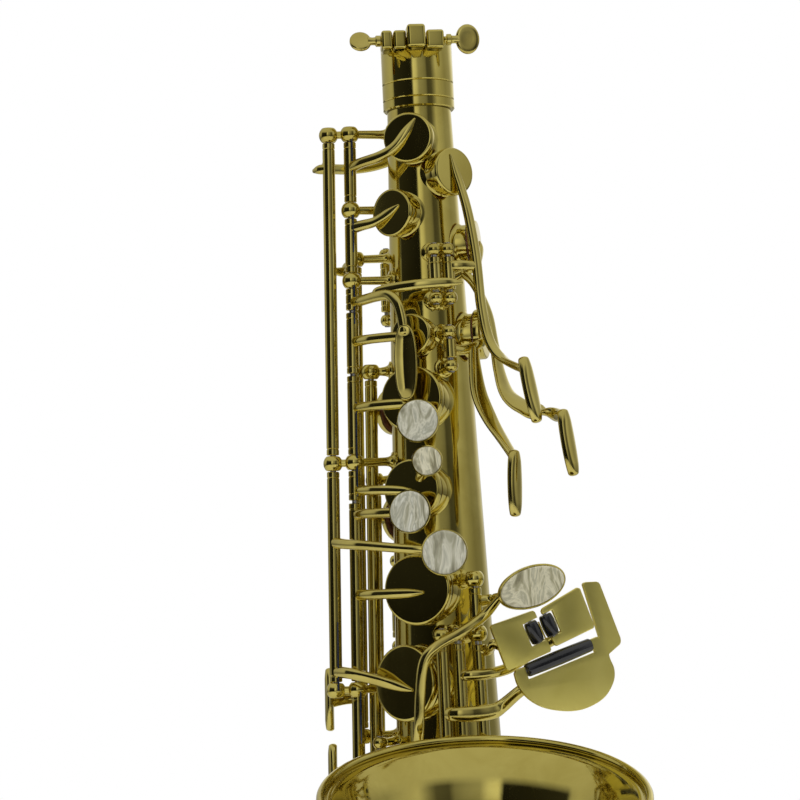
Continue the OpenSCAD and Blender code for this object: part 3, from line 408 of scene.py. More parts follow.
def gloss_plastic(name):
    m, t, s, place = nodes_of(name)
    cloud = noise(t, place, 90, 3)
    wear = noise(t, place, 800, 4, 0.7, stretch=(1, 1, 0.3))
    surface(t, s, cloud, [(0.35, (0.006, 0.007, 0.009)), (0.7, (0.016, 0.017, 0.020))],
            wear, 0.07, 0.24)
    s.inputs["Coat Weight"].default_value = 0.5
    s.inputs["Coat Roughness"].default_value = 0.03
    bump(t, s, wear, 0.15, 0.00002)
    return m


def wool_felt(name):
    m, t, s, place = nodes_of(name)
    fibre = noise(t, place, 1500, 6, 0.75, 1.2)
    surface(t, s, fibre, [(0.3, (0.10, 0.018, 0.014)), (0.7, (0.26, 0.06, 0.045))],
            fibre, 0.85, 0.98)
    s.inputs["Sheen Weight"].default_value = 0.5
    bump(t, s, fibre, 0.9, 0.0004)
    return m


LOOKS = {
    "body": (brass("body_brass", (0.66, 0.56, 0.15), (0.54, 0.44, 0.10), 0.07),
             "lacquered_brass"),
    "key": (brass("key_brass", (0.68, 0.58, 0.17), (0.55, 0.45, 0.115), 0.085),
            "lacquered_brass"),
    "lid": (brass("cup_brass", (0.66, 0.56, 0.15), (0.54, 0.44, 0.10), 0.06, 0.00001),
            "lacquered_brass"),
    # The table plates get a brighter, rougher copy of the same lacquered brass: its extra
    # brightness is painted light, standing in for the light their flat faces mirror.
    "plate": (brass("plate_brass_painted_bright", (0.86, 0.76, 0.22), (0.78, 0.68, 0.17), 0.3, spread=1.2),
              "lacquered_brass"),
    "steel": (steel("rod_steel", (0.55, 0.55, 0.56), 0.25), "spring_steel"),
    "needle": (steel("blued_steel", (0.07, 0.09, 0.17), 0.3), "spring_steel"),
    "pearl_a": (shell_pearl("pearl_streaked", 0.7, (1, 1, 1)), "pearl"),
    "pearl_b": (shell_pearl("pearl_cream", -0.5, (1.06, 1.03, 0.93)), "pearl"),
    "black": (gloss_plastic("roller_black"), "black_plastic"),
    "leather": (leather("pad_leather"), None),
    "felt": (wool_felt("stop_felt"), "felt"),
}
NODE_LOOKS = {
    "lacquered_brass": "body", "spring_steel": "steel", "pearl": "pearl_a",
    "black_plastic": "black", "felt": "felt",
}


# ---- measures of the keywork
ROD_A = (-80, 17)
ROD_B = (-84, 25.5)
SIDE_C_LINE = (-97, 8.5)
SIDE_BB_LINE = (-115, 9)
HIGH_E_LINE = (-103, 14.5)
BB_LINE = (-8.5, 13.5)
B_LINE = (2.5, 13.5)
CS_LINE = (18, 12)
PALM_F_LINE = (14.5, 9)
PALM_EB_LINE = (1, 9)
PALM_D_LINE = (11, 9.5)
GS_LINE = (-74, 9)
EB_LINE = (-64, 14)
C_LINE = (-112, 12)
PIP_LINE = (-140, 8)
PIP = (-152, -100)
THUMB_LINE = (-146, 9)
# Tone holes: (angle, height, width of the pad cup)
BODY_HOLES = {
    "high_fs": (-21, -42.5, 21), "high_e": (-45, -73, 20), "palm_f": (32, -57, 20),
    "palm_eb": (74, -86, 20), "palm_d": (70, -124, 21), "c_vent": (-23, -124.6, 17),
    "b": (-25, -151, 27), "side_c": (-140, -153, 20), "bis": (-28, -188, 25),
    "side_bb": (-150, -198, 22), "a": (-26, -228.5, 29), "g": (-42, -266, 31),
    "gs": (-42, -303, 26), "fs": (-52, -336, 30), "f": (-52, -370, 32), "e": (-52, -406, 34),
    "d": (-50, -444, 37), "low_eb": (-38, -485, 36),
}
BELL_HOLES = {
    "low_bb": (-120, -388, 47), "low_b": (-120, -441, 44), "low_cs": (120, -486, 40),
}
LOW_C_D = 38
LOW_C_BEND = radians(38)
B_TOUCH = (-14, -160.6, 15.5, PEARL_D)
BIS_TOUCH = (-9, -177, 14.5, 11.5)
A_TOUCH = (-22, -197, 15.5, PEARL_D)
G_TOUCH = (-1, -214, 16.5, PEARL_D + 1)
F_TOUCH = (-34, -366, 15.5, PEARL_D)
E_TOUCH = (-34, -403, 15.5, PEARL_D)
D_TOUCH = (-34, -441, 15.5, PEARL_D)
CS_ROLLER_ENDS = ((-3.1, -243.2), (0.3, -251.6))
B_ROLLER_ENDS = ((3.6, -240.6), (7, -249))
BB_ROLLER_ENDS = ((-5.6, -262.6), (23.4, -253.6))
GS_OVAL = (30.4, 16.8)


# ---- parts of keys
def key(node, line, z1, z2, angle=0):
    """Starts a key: its hinge tube, and the turn that all of its pieces get."""
    KEY.update(node=node, line=line, turn=turned(line, angle), count=0)
    tube(line, z1, z2)


def part(name, shape, look="key", matrix=None, **more):
    matrix = KEY["turn"] @ (matrix or Matrix.Identity(4))
    return make(
        f"{KEY['node']}_{name}", shape, KEY["node"], look, matrix, nodes=[KEY["node"]], **more
    )


def tube(line, z1, z2):
    r, hole, long = TUBE_D / 2, ROD_D / 2 + 0.1, (z1 - z2) / cos(TAPER)
    profile = [(hole, 0.02), (r - 0.3, 0), (r, 0.3)]
    profile += [(r, 2.2), (r - 0.18, 2.4), (r - 0.18, 2.7), (r, 2.9)]
    profile += [(r, long - 2.9), (r - 0.18, long - 2.7), (r - 0.18, long - 2.4), (r, long - 2.2)]
    profile += [(r, long - 0.3), (r - 0.3, long), (hole, long - 0.02), (hole, 0.02)]
    if z1 - z2 < 8:
        profile = [p for p in profile if p[0] != r - 0.18]
    part("tube", lathe(profile, 32), matrix=on_body(line[0], z2, line[1]))


def arm(*stations, axis_y=0):
    """A lever through stations (angle, rise, height, width, thickness), or pt() ones."""
    KEY["count"] += 1
    stations = [s if isinstance(s, np.ndarray) else at(*s) for s in stations]
    part(f"arm_{KEY['count']}", sweep(stations, axis_y=axis_y))


def pad_cup(d, place):
    """The cup with a rolled edge and a nearly flat lid, and the leather pad in it."""
    low, top, r = CHIMNEY_RISE + PAD_GAP, LID_RISE, d / 2
    part("cup", lathe([
        (0, top - 1), *offset(r, top, (-0.9, -1), (-0.75, -1.2)),
        *offset(r, low + 0.85, (-0.7, 0.1), (-0.6, 0), (-0.1, 0), (0, 0.12)),
        *offset(r, top, (0, -0.95), (-0.06, -0.72), (-0.22, -0.42), (-0.48, -0.18), (-0.8, -0.06),
              (-1.15, -0.01), (-1.5, 0.01)),
        (r * 0.6, top + 0.12), (r * 0.3, top + 0.21), (0, top + 0.25),
    ], 96), "lid", place)
    part("pad", lathe([
        (0, low), (r * 0.5, low), *offset(
            r, low, (-2.6, 0.02), (-1.5, -0.02), (-0.85, 0.1), (-0.42, 0.42), (-0.38, 0.72),
            (-0.74, 1), (-0.76, 2.6),
        ), (0, low + 2.6),
    ], 96), "leather", place)


def body_cup(name):
    a, z, d = BODY_HOLES[name]
    pad_cup(d, facing(a, z))


def bell_cup(name):
    hole = BELL_HOLES[name]
    pad_cup(hole[2], bell_facing(hole))


def pearl_seat(touch, stem=5):
    a, z, h, d = touch
    r, c = d / 2, CLEARANCE
    part("seat", lathe([
        (0, -1), *offset(r, 0, (-0.9, -1), (-0.2, -0.75), (0.35, -0.2), (0.6, 0.4), (0.62, 1.1),
                       (0.5, 1.38), (0.25, 1.42), (c, 1.2), (c, 0)), (0, 0),
    ], 72), "key", facing(a, z, h))
    part("stem", lathe([
        (0, 0), (2.5, 0), (2.5, 0.4), (2.0, 0.9), (1.9, stem - 1.6), (2.3, stem - 0.9),
        (0, stem - 0.8)
    ], 32), "key", facing(a, z, h - stem))


def round_pearl(name, touch, turn, look):
    """A finger pearl with a dished face."""
    r = touch[3] / 2
    make(name + "_pearl_inlay", lathe([
        (0, 0.05), (r - 0.2, 0.05), (r, 0.2), (r, 1.45), (r - 0.12, 1.72), (r - 0.45, 1.95),
        (r - 0.9, 2.08), (r - 1.6, 2.1), (r * 0.55, 1.95), (r * 0.3, 1.86), (0, 1.82),
    ], 72), name + "_key", look, turn @ facing(*touch[:3]), nodes=[name + "_pearl"])


def spoon(p, q, face, wide, thick, dish=0.0):
    """A rounded oblong plate from p to q. A positive dish hollows its face, a negative one
    crowns it."""
    p, q = Vector(p), Vector(q)
    z = (q - p).normalized()
    y = (Vector(face) - z * Vector(face).dot(z)).normalized()
    turn = Matrix((y.cross(z), y, z)).transposed().to_4x4()
    long, rows, sides = (q - p).length, [], 48
    for i in range(45):
        e = pi * (i + 0.1) / 44.2
        w = sin(e) ** 0.7
        row = []
        for k in range(sides):
            a = 2 * pi * k / sides
            c, v = cos(a), sin(a)
            edge = thick / 2 * min(1, 0.1 + 2.2 * sin(e) ** 0.8)
            depth = copysign(abs(v) ** 0.62, v) * edge
            if v > 0:
                depth -= dish * (1 - c * c) * max(0, min(1, sin(e) * 1.6 - 0.2))
            row.append((w * c * wide / 2, depth, -cos(e) * long / 2))
        rows.append(row)
    place = Matrix.Translation((p + q) / 2) @ turn
    part("touch", hoops(rows, capped=True), "key", place, crease=75)


def side_touch(line, z, a, h):
    arm((line[0], line[1], z, 5, 3.6), ((line[0] + a) / 2, (line[1] + h) / 2, z, 5, 3.2),
        (a, h, z, 7, 3))
    out = Vector(P(a, 1, 0)) - Vector(P(a, 0, 0))
    spoon(P(a, h + 0.3, z + 13), P(a, h + 0.3, z - 13), out, 8.5, 3.2, -0.6)


def palm_touch(p, q):
    spoon(p, q, (0.8, -0.6, 0), 8.4, 3.8, -0.7)


def lower_key(name, z1, z2, touch=None):
    """A key of the lower stack. Its arm comes off the tube at the height of the hole."""
    key(name + "_key", ROD_A, z1, z2, -STACK_OPEN - 1)
    body_cup(name)
    a, z, _ = BODY_HOLES[name]
    arm((*ROD_A, z, 5, 4), (-72, 13.5, z, 4.6, 3.2), (-62, 9.4, z, 4.4, 2.8), (a, 8, z, 3, 1.8),
        (a + 8, 7.8, z, 1.2, 1))
    if touch:
        pearl_seat(touch, 6)
        arm((a + 2, 7, touch[1], 5, 3), (a + 10, 10.2, touch[1], 4.6, 3),
            (touch[0], 13.2, touch[1], 4.4, 2.6))


def build_keys():
    key("high_fs_key", ROD_A, -41.4, -66.6)
    body_cup("high_fs")
    arm((-80, 17, -52, 5.2, 4), (-66, 14.5, -51), (-48, 11.5, -49.5), (-34, 9.4, -46, 4, 3),
        (-22, 8.2, -40, 3.6, 2.2), (-12, 7.6, -35, 1, 0.8))

    key("high_e_key", ROD_A, -73.6, -96.2)
    body_cup("high_e")
    arm((-80, 17, -77.5, 5, 4), (-70, 14, -77), (-60, 10.5, -76, 4, 3), (-46, 8.2, -73, 3.6, 2.2),
        (-34, 8.2, -70.5, 1, 0.8))
    arm((-80, 17, -93, 4, 3.4), (-86, 18, -93, 4, 3.4), (-93, 18.6, -93, 3, 3))

    key("high_e_lever", HIGH_E_LINE, -92.4, -284.6)
    arm((-103, 14.5, -94, 4, 3.2), (-101, 20, -94, 4, 3), (-95, 23, -94, 3, 2.4))
    side_touch(HIGH_E_LINE, -272, -96, 27)

    key("side_c_key", SIDE_C_LINE, -140.6, -317.4)
    body_cup("side_c")
    arm((-97, 8.5, -152, 4.6, 3.2), (-112, 8.2, -152.5, 4.4, 3), (-126, 8, -153, 3.8, 2.4),
        (-142, 8, -153.5, 1.2, 1))
    side_touch(SIDE_C_LINE, -303, -93, 26)

    key("side_bb_key", SIDE_BB_LINE, -185.6, -351.4)
    body_cup("side_bb")
    arm((-115, 9, -196, 4.6, 3.4), (-128, 8.8, -197, 4.4, 3), (-140, 8.2, -198, 3.8, 2.4),
        (-153, 8.2, -198, 1.2, 1))
    side_touch(SIDE_BB_LINE, -338, -97, 27)

    key("front_f_key", ROD_A, -102.9, -111.8)
    arm((-80, 17, -108.5, 4.6, 3.8), (-66, 15.5, -108.5), (-48, 15.5, -108), (-36, 16.5, -108.5),
        (-29, 17.5, -112, 4.2, 3.2), (-26, 17.6, -118, 4, 3), (-25, 17.4, -124, 3.6, 2.6))
    spoon(P(-24, 17.6, -121), P(-24, 17.8, -152), P(-24, 1, 0), 9.6, 4.2, 2.3)
    arm((-52, 15, -107, 2, 2), (-46, 15.2, -106, 4, 2.6), (-20, 15.4, -105, 4.2, 2.4),
        (6, 15.6, -104.5, 4, 2.4), (20, 15, -104.5, 1.6, 1.4))

    key("c_vent_key", ROD_A, -112.9, -138.2, -STACK_OPEN)
    body_cup("c_vent")
    arm((-80, 17, -125, 4.6, 3.6), (-60, 13.5, -125, 4, 3.2), (-42, 10.4, -125, 4, 2.8),
        (-30, 8.4, -125, 3.2, 2.2), (-21, 7.8, -125, 1, 0.8))

    key("b_key", ROD_A, -139.2, -171.8, -STACK_OPEN)
    body_cup("b")
    arm((-80, 17, -152.5, 4.6, 3.6), (-60, 13, -152.5, 4, 3.2), (-45, 10.4, -152.5, 4, 2.8),
        (-33, 8.6, -152.5, 3.6, 2.4), (-25, 7.8, -152.5, 1.2, 1))
    pearl_seat(B_TOUCH, 9)
    boss = lathe([(0, 0), (3.4, 0), (3, 0.8), (2.8, 2), (3, 3.8), (2.6, 4.5), (0, 4.5)], 40)
    part("boss", boss, "key", facing(-18, -157, 6.8))

    key("bis_key", ROD_A, -178.4, -190.6, -STACK_OPEN)
    body_cup("bis")
    arm((-80, 17, -186.5, 4.6, 3.6), (-62, 13, -187, 4, 3.2), (-48, 10.2, -187.5, 4, 2.8),
        (-36, 8.4, -188, 3.4, 2.4), (-28, 7.8, -188, 1.2, 1))
    pearl_seat(BIS_TOUCH, 5)
    arm((-20, 6.5, -184, 4, 3), (-15, 9.6, -181, 4, 3), (-9, 12.4, -177, 4, 2.6))

    key("a_key", ROD_A, -191.8, -264.6, -STACK_OPEN)
    body_cup("a")
    arm((-80, 17, -196.5, 4.6, 3.6), (-62, 15.8, -196.5, 4, 3.2), (-42, 14.6, -196.8, 4, 2.8),
        (-22, 13.8, -197, 3.6, 2.6))
    arm((-80, 17, -229.5, 4.8, 3.8), (-62, 13.5, -229.5, 4.2, 3.2), (-46, 10.6, -229.5, 4, 3),
        (-32, 8.6, -229.5, 3.4, 2.4), (-20, 8.2, -229.5, 1.2, 1))
    pearl_seat(A_TOUCH, 3)

    key("g_key", ROD_B, -178.4, -264.6, -STACK_OPEN + 1)
    body_cup("g")
    arm((-84, 25.5, -207.5, 4.6, 4.4), (-72, 22.5, -208.5, 4.2, 4), (-56, 19, -209.5, 4, 3.8),
        (-30, 16, -211.5, 3.8, 3.4), (-1, 15, -213.5, 3.6, 2.6))
    arm((-84, 25.5, -260.5, 5, 4.2), (-72, 21.8, -261, 4.6, 3.6), (-61, 15, -263.5, 4.6, 3.2),
        (-50, 10, -266, 4.2, 2.8), (-41, 8.3, -267.5, 3, 2.2), (-33, 8.2, -268.5, 1.2, 1))
    pearl_seat(G_TOUCH, 3)

    key("octave_ring_key", ROD_B, -41.4, -171.6)
    arm((-84, 25.5, -50, 5, 4), (-98, 26, -50, 4.4, 3.4), (-118, 20, -49, 4.4, 3),
        (-140, 13, -47, 4.2, 3), (-160, 10.4, -43, 4, 3), (-172, 10, -34, 4, 3),
        pt((-2, 24, -20), 3.6, 3), pt((-2, 24, -4), 3.2, 3), pt((-2, 23.2, 4.6), 2.6, 2.6))
    arm((-84, 25.5, -52, 4, 3.6), (-86, 29, -52, 4, 3.4), (-90, 31, -52, 2, 2))

    key("octave_thumb_key", THUMB_LINE, -219.6, -248.4)
    arm((-146, 9, -223, 4.6, 3.4), (-156, 9.5, -220, 4.4, 3), (-166, 9, -217.5, 5, 3))
    arm((-160, 9, -227, 1.4, 1.2), (-165, 9, -220, 6, 2.6), (-178, 9, -215, 8, 3),
        (168, 9, -219, 6, 2.6), (161, 9, -226, 1.4, 1.2))

    key("octave_pip_key", PIP_LINE, -89.6, -110.4)
    place = facing(*PIP, 4 + PAD_GAP)
    part("cup", lathe([
        (0, 1.2), (3.3, 1.2), (3.35, 0.7), (3.9, 0.7), (4, 0.9), (4, 2), (3.6, 2.4), (0, 2.45)
    ], 48), "lid", place)
    part("pad", lathe([
        (0, 0), (3.0, 0.02), (3.5, 0.2), (3.55, 0.6), (3.25, 0.75), (3.25, 1.2), (0, 1.2)
    ], 48), "leather", place)
    arm((-140, 8, -100, 4, 3), (-146, 7.6, -100, 4, 2.6), (-151, 6.4, -100, 4, 2))

    key("palm_f_key", PALM_F_LINE, -93.2, -106.8)
    body_cup("palm_f")
    arm((27, 7.8, -50, 1, 0.8), (31, 8.4, -57, 3.4, 2.2), (34, 9.6, -64, 4, 2.8),
        (36, 12, -76, 4.4, 3.2), (38, 13.6, -94, 4.6, 3.4), (38.5, 14.4, -114, 4.8, 3.4),
        (39, 17.5, -129, 5.4, 3.2), (40, 24, -137, 5.2, 3), pt((32, -42, -142), 5, 3))
    arm((14.5, 9, -97, 5, 3.6), (24, 12, -97, 4.4, 3.2), (38, 13.7, -97, 4, 3))
    palm_touch((32, -43, -137), (36, -46, -164))

    key("palm_eb_key", PALM_EB_LINE, -93.2, -106.8)
    body_cup("palm_eb")
    arm((1, 8.4, -100, 4.6, 3.4), (6, 4.6, -100, 4.2, 2.8), (14, 3.2, -100.5, 4, 2.6),
        (28, 3.6, -101, 4, 2.6), (50, 8, -96, 4, 3), (66, 8.6, -89, 3.6, 2.4),
        (76, 7.8, -85, 1.2, 1))
    arm((38, 5.6, -99, 4, 2.6), (46, 8.6, -104, 4.6, 2.8), (50, 13, -116, 5, 2.6),
        (50, 14.8, -128, 5.4, 2.6), (47, 17.5, -141, 8, 2.4), (45, 22, -151, 11, 2.2),
        pt((34, -31, -157), 9, 2.4), pt((40.5, -33.6, -159), 7, 2.6),
        pt((44.6, -38.5, -160.5), 6, 2.8), pt((46.2, -46, -161.5), 5, 3))
    palm_touch((46, -48, -159), (49, -50, -186))

    key("palm_d_key", PALM_D_LINE, -127.2, -134.8)
    body_cup("palm_d")
    arm((11, 9.5, -131, 4.6, 3.4), (26, 8.6, -131.5, 4.2, 3), (44, 9.4, -129, 4.2, 3),
        (58, 8.8, -126, 3.6, 2.4), (72, 7.8, -124, 1.2, 1))
    arm((37, 9.2, -130.5, 5.4, 2.6), (35, 10, -138, 6.4, 2.4), (34, 12, -150, 8.6, 2.2),
        (36, 16.4, -161, 8.4, 2.2), (36, 23, -170, 6.4, 2.6), pt((27, -39, -177), 5, 3))
    palm_touch((27, -40, -174), (26, -41, -201))

    key("low_cs_key", CS_LINE, -251.4, -491)
    plate([
        (-20.3, -244.6), (-19.6, -243.6), (-1.8, -238.8), (-0.9, -239.4), (5.4, -254.6),
        (4.9, -255.6), (-13.4, -262), (-14.4, -261.4),
    ], CS_ROLLER_ENDS)
    table_pin(CS_ROLLER_ENDS)
    arm((18, 12, -254, 4.6, 3.4), (22, 17, -253.5, 4.4, 3), pt(T(-18, -251.5, -0.6), 5, 2.6),
        pt(T(-10, -250.5, -0.4), 4, 2))
    bell_cup("low_cs")
    arm((18, 12, -480, 4.8, 3.6), pt((22, -44, -481), 4.6, 3.6), pt((30.5, -54.5, -483), 4.6, 3.2),
        pt((34.2, -63.6, -485), 4.2, 2.8), pt((38.1, -73.9, -486), 3.2, 2),
        pt((40.8, -79.5, -486), 1.2, 1), axis_y=BELL_Y)

    key("low_b_key", B_LINE, -250.6, -449.4)
    plate([
        (2, -239.2), (2.6, -238), (18.4, -230.4), (19.7, -230.9), (25, -245.6),
        (24.9, -247.1), (8.2, -253.4), (7.2, -253.2),
    ], B_ROLLER_ENDS)
    table_pin(B_ROLLER_ENDS)
    arm((2.5, 13.5, -263, 4.8, 3.6), (8, 17.6, -263.3, 4.4, 3.2), (19, 18.4, -263, 4.4, 3.2),
        pt((21, -33.6, -261.5), 4.6, 3.2), pt((28, -31, -258), 4.8, 3),
        pt((37, -29.6, -253), 5, 2.8), pt(T(14, -248, -0.9), 5, 2.6), pt(T(17, -244, -0.4), 4, 2))
    KEY["turn"] = turned(B_LINE, -BELL_OPEN)
    bell_cup("low_b")
    arm((2.5, 13.5, -426, 4.8, 3.6), pt((-16, -46, -428), 4.6, 3.6),
        pt((-31.4, -51.8, -434), 4.6, 3.2), pt((-35.6, -61.6, -439), 4.2, 2.8),
        pt((-39.9, -72.9, -441), 3.2, 2), pt((-42.6, -78.4, -441), 1.2, 1), axis_y=BELL_Y)

    key("low_bb_key", BB_LINE, -250.6, -395.4)
    plate([
        (20.9, -229.4), (21.4, -228.7), (22.4, -228.4), (27, -228.4), (28, -228.8), (28.6, -229.6),
        (36.5, -251.6), (36.6, -253), (36.2, -254.2), *curve([
            (31, -257.9), (31.4, -259.8), (33, -264), (32.6, -268.6), (29.6, -273.6),
            (25.4, -276.8), (19, -279.2), (12.6, -279.8), (6, -279), (0, -277.2), (-5.4, -273.8),
            (-9.4, -268.8), (-11, -263.6),
        ]), (-10.4, -262.2), (26.2, -250.6), (27.2, -251.6),
    ], BB_ROLLER_ENDS)
    table_pin(BB_ROLLER_ENDS)
    arm((-8.5, 13.5, -278, 4.8, 3.6), (-3, 17.8, -278.3, 5.6, 3.2), (7, 19, -278.5, 6.2, 3),
        (20, 18.6, -278, 6.2, 3), pt((18, -36, -276), 5.6, 3), pt(T(-7, -270, -0.8), 5, 2.8),
        pt(T(0, -268, -0.4), 5, 2))
    KEY["turn"] = turned(BB_LINE, -BELL_OPEN)
    bell_cup("low_bb")
    arm((-8.5, 13.5, -388, 4.8, 3.6), pt((-20, -45, -388), 4.6, 3.6),
        pt((-33, -49.6, -388), 4.6, 3.2), pt((-38, -60.2, -388), 4.2, 2.8),
        pt((-42.2, -71.6, -388), 3.2, 2), pt((-45, -77.2, -388), 1.2, 1), axis_y=BELL_Y)

    key("gs_touch", CS_LINE, -228.6, -243.6)
    part("frame", dished([
        (0.6, 0), (0, 0.4), (0, 1.7), (0.25, 2.05), (0.8, 2.2), (1.3, 2.1), (1.6, 1.9),
        (1.65, 1.05), (2.2, 1.0),
    ]), "key", table_frame(), crease=50)
    arm((18, 12, -234.4, 4.8, 3.4), (28, 15, -233.6, 4.5, 3.1), pt(T(-14, -233, -1.3), 4.8, 2.9),
        pt(T(-6, -231, -0.4), 4.6, 2))
    arm(pt(T(-15, -233, -0.6), 3, 2.6), pt((12, -36, -240), 4.2, 3.6),
        pt((2, -39.6, -246), 4.2, 3.8), pt((-8, -41.4, -251), 4.2, 3.8),
        pt((-13.4, -41, -257), 4.2, 3.8), pt((-15.4, -39.6, -270), 4.2, 3.8),
        pt((-16.4, -38.4, -284), 4.2, 3.6), pt((-17, -34, -291), 4, 3.4),
        pt((-17.6, -27, -295), 3, 2.6))

    key("gs_key", GS_LINE, -293.6, -312.4)
    body_cup("gs")
    arm((-74, 9, -303, 5, 3.2), (-64, 9.2, -303, 4.4, 2.8), (-52, 8.2, -303, 3.6, 2.2),
        (-42, 7.8, -303, 1.2, 1))

    key("low_eb_key", EB_LINE, -466.9, -499.1)
    body_cup("low_eb")
    arm((-64, 14, -486, 4.8, 3.4), (-56, 11.5, -486, 4.6, 3), (-48, 8.6, -485, 4, 2.4),
        (-36, 7.8, -485, 1.2, 1))
    pinky_plate(-454, -478.6, EB_ROLLER_Z)
    arm((-64, 14, -471.5, 4.8, 3.4), (-72, 19.5, -471.5, 4.8, 3.2), (-80, 23, -470, 4.6, 3),
        pt((PINKY_X + 1, PINKY_Y - 5, -466.6), 4.4, 3))

    lower_key("fs", -321.4, -349.6)
    tube(ROD_A, -269.8, -318.6)
    lower_key("f", -350.6, -386.4, F_TOUCH)
    lower_key("e", -387.4, -423.4, E_TOUCH)
    lower_key("d", -424.4, -458.6, D_TOUCH)

    key("low_c_key", C_LINE, -469.9, -503.1, -LOW_C_OPEN)
    hole, reach = low_c_place()
    pad_cup(LOW_C_D, hole @ move(0, 0, reach))
    pinky_plate(-480, -502, C_ROLLER_Z)
    arm((-112, 12, -487, 4.8, 3.4), (-102, 16, -490, 4.8, 3.2), (-96, 21, -493, 5, 3),
        pt((PINKY_X + 1, PINKY_Y + 4, -494.5), 5, 3))
    arm((-112, 12, -496, 4.8, 3.6), pt((-45, 15, -504), 4.8, 3.4), pt((-45, 10, -520), 4.8, 3.2),
        pt((-40.1, -2, -534), 4.4, 2.8), pt((-37.4, -11, -541), 1.4, 1))


# ---- shapes that need cutting
def scratch(name, shape, matrix=None):
    points, faces = shape
    mesh = bpy.data.meshes.new(name)
    mesh.from_pydata([Vector(p) for p in points], [], faces)
    if matrix:
        mesh.transform(matrix)
    bm_fix(mesh)
    o = bpy.data.objects.new(name, mesh)
    bpy.context.scene.collection.objects.link(o)
    return o


def joined(shapes):
    points, faces = [], []
    for shape, matrix in shapes:
        n = len(points)
        points += [tuple(matrix @ Vector(p)) for p in shape[0]]
        faces += [[v + n for v in f] for f in shape[1]]
    return points, faces


def shaped(shape, cut=None, bevel=0.0, segments=3, matrix=None, angle=40):
    """The shape, in millimetres, with another taken away and its edges rounded."""
    o = scratch("scratch_body", shape, matrix)
    spare = [o]
    if cut:
        knife = scratch("scratch_cut", cut)
        spare.append(knife)
        b = o.modifiers.new("cut", "BOOLEAN")
        b.object, b.solver = knife, "EXACT"
    if bevel:
        b = o.modifiers.new("edge", "BEVEL")
        b.width, b.segments, b.angle_limit = bevel, segments, radians(angle)
        b.limit_method = "ANGLE"
    bpy.context.view_layer.update()
    mesh = o.evaluated_get(bpy.context.evaluated_depsgraph_get()).to_mesh()
    points = [tuple(v.co) for v in mesh.vertices]
    faces = [list(p.vertices) for p in mesh.polygons]
    for s in spare:
        bpy.data.objects.remove(s)
    return points, faces


def slab(outline, low, high):
    """A flat outline given thickness along Z."""
    n = len(outline)
    points = [(x, y, low) for x, y in outline] + [(x, y, high) for x, y in outline]
    faces = [list(range(n))[::-1], list(range(n, 2 * n))]
    faces += [[k, (k + 1) % n, (k + 1) % n + n, k + n] for k in range(n)]
    return points, faces


def block(size, centre=(0, 0, 0)):
    x, y, z = (s / 2 for s in size)
    points, faces = slab([(-x, -y), (x, -y), (x, y), (-x, y)], -z, z)
    return [tuple(a + b for a, b in zip(p, centre)) for p in points], faces


def rod(r, low, high, sides=48):
    return lathe([(0, low), (r, low), (r, high), (0, high)], sides)


# ---- body, bow and bell
def hole_r(d):
    """How wide the wall is cut under a pad cup: a little inside the chimney's own wall."""
    return (d - 5.4) / 2 + 0.45


def drawn_chimney(d, wall_r, sides=96):
    """A tone hole drawn up out of a round wall: a fillet that follows the wall, the chimney
    and its flat crown."""
    outer, inner = (d - 3) / 2, (d - 5.4) / 2 + 0.5
    rings = []

    def ring(r, height=None, above=0.0):
        row = []
        for k in range(sides):
            a = 2 * pi * k / sides
            x, y = r * cos(a), r * sin(a)
            sink = wall_r - sqrt(max(wall_r ** 2 - x * x, 1))
            row.append((x, y, height if height is not None else above - sink))
        rings.append(row)

    f = 1.5
    for k in range(7):
        e = radians(90 * k / 6)
        ring(outer + f * (1 - sin(e)), above=f * (1 - cos(e)) - 0.06)
    ring(outer, CHIMNEY_RISE - 0.25)
    ring(outer - 0.08, CHIMNEY_RISE - 0.06)
    ring(outer - 0.25, CHIMNEY_RISE)
    ring(inner + 0.2, CHIMNEY_RISE)
    ring(inner, CHIMNEY_RISE - 0.2)
    ring(inner, above=-WALL - 0.1)
    ring(outer - 0.35, above=-WALL - 0.1)
    ring(outer + f, above=-0.45)
    return hoops(rings, closed=True)


def tube_wall(radii, base, sides=160):
    """A tube of the given outer (radius, z), its wall turned in at both ends."""
    profile = [(r, z) for r, z in radii] + [(r - WALL, z) for r, z in radii[::-1]]
    profile.append(profile[0])
    points, faces = lathe(profile, sides)
    return [(x + base[0], y + base[1], z) for x, y, z in points], faces


def build_body():
    steps = 60
    zs = [-26 - (BODY_LEN - 26) * k / steps for k in range(steps + 1)]
    wall = tube_wall([(rb(z), z) for z in zs], (0, 0))
    knife = joined([
        (rod(hole_r(d), -9, 9, 48), facing(a, z)) for a, z, d in BODY_HOLES.values()
    ] + [(rod(1.5, -9, 9, 24), facing(*PIP))])
    fixed("body_cone", shaped(wall, knife), "body_tube", crease=30)
    for name, (a, z, d) in BODY_HOLES.items():
        fixed(f"tone_hole_{name}", drawn_chimney(d, rb(z)), "body_tube", facing(a, z), crease=50)
    fixed("octave_pip", lathe([
        (1.5, -1), (1.5, 3.8), (2.4, 4.0), (3.4, 3.6), (3.6, 2.6), (3.6, 1.4), (4.2, 0.8),
        (4.4, -1), (1.5, -1)
    ], 48), "body_tube", facing(*PIP))
    seam_ring("body_ring", rb(-BODY_LEN), 0.02, 0.02, "body_tube")


def seam_ring(name, r, top, low, node, matrix=None):
    """The collar round the lower end of a tube. Its bore stands off the tube by top and low."""
    fixed(name, lathe([(r + out, up - BODY_LEN) for out, up in (
        (top, 9), (1.2, 8.9), (1.8, 8.3), (1.8, 6.6), (1.45, 6.2), (1.45, 5.6), (1.8, 5.2),
        (1.8, -1.4), (1.3, -2), (0.62, -2), (0.62, 0), (low, 0), (top, 9),
    )], 128), node, matrix)


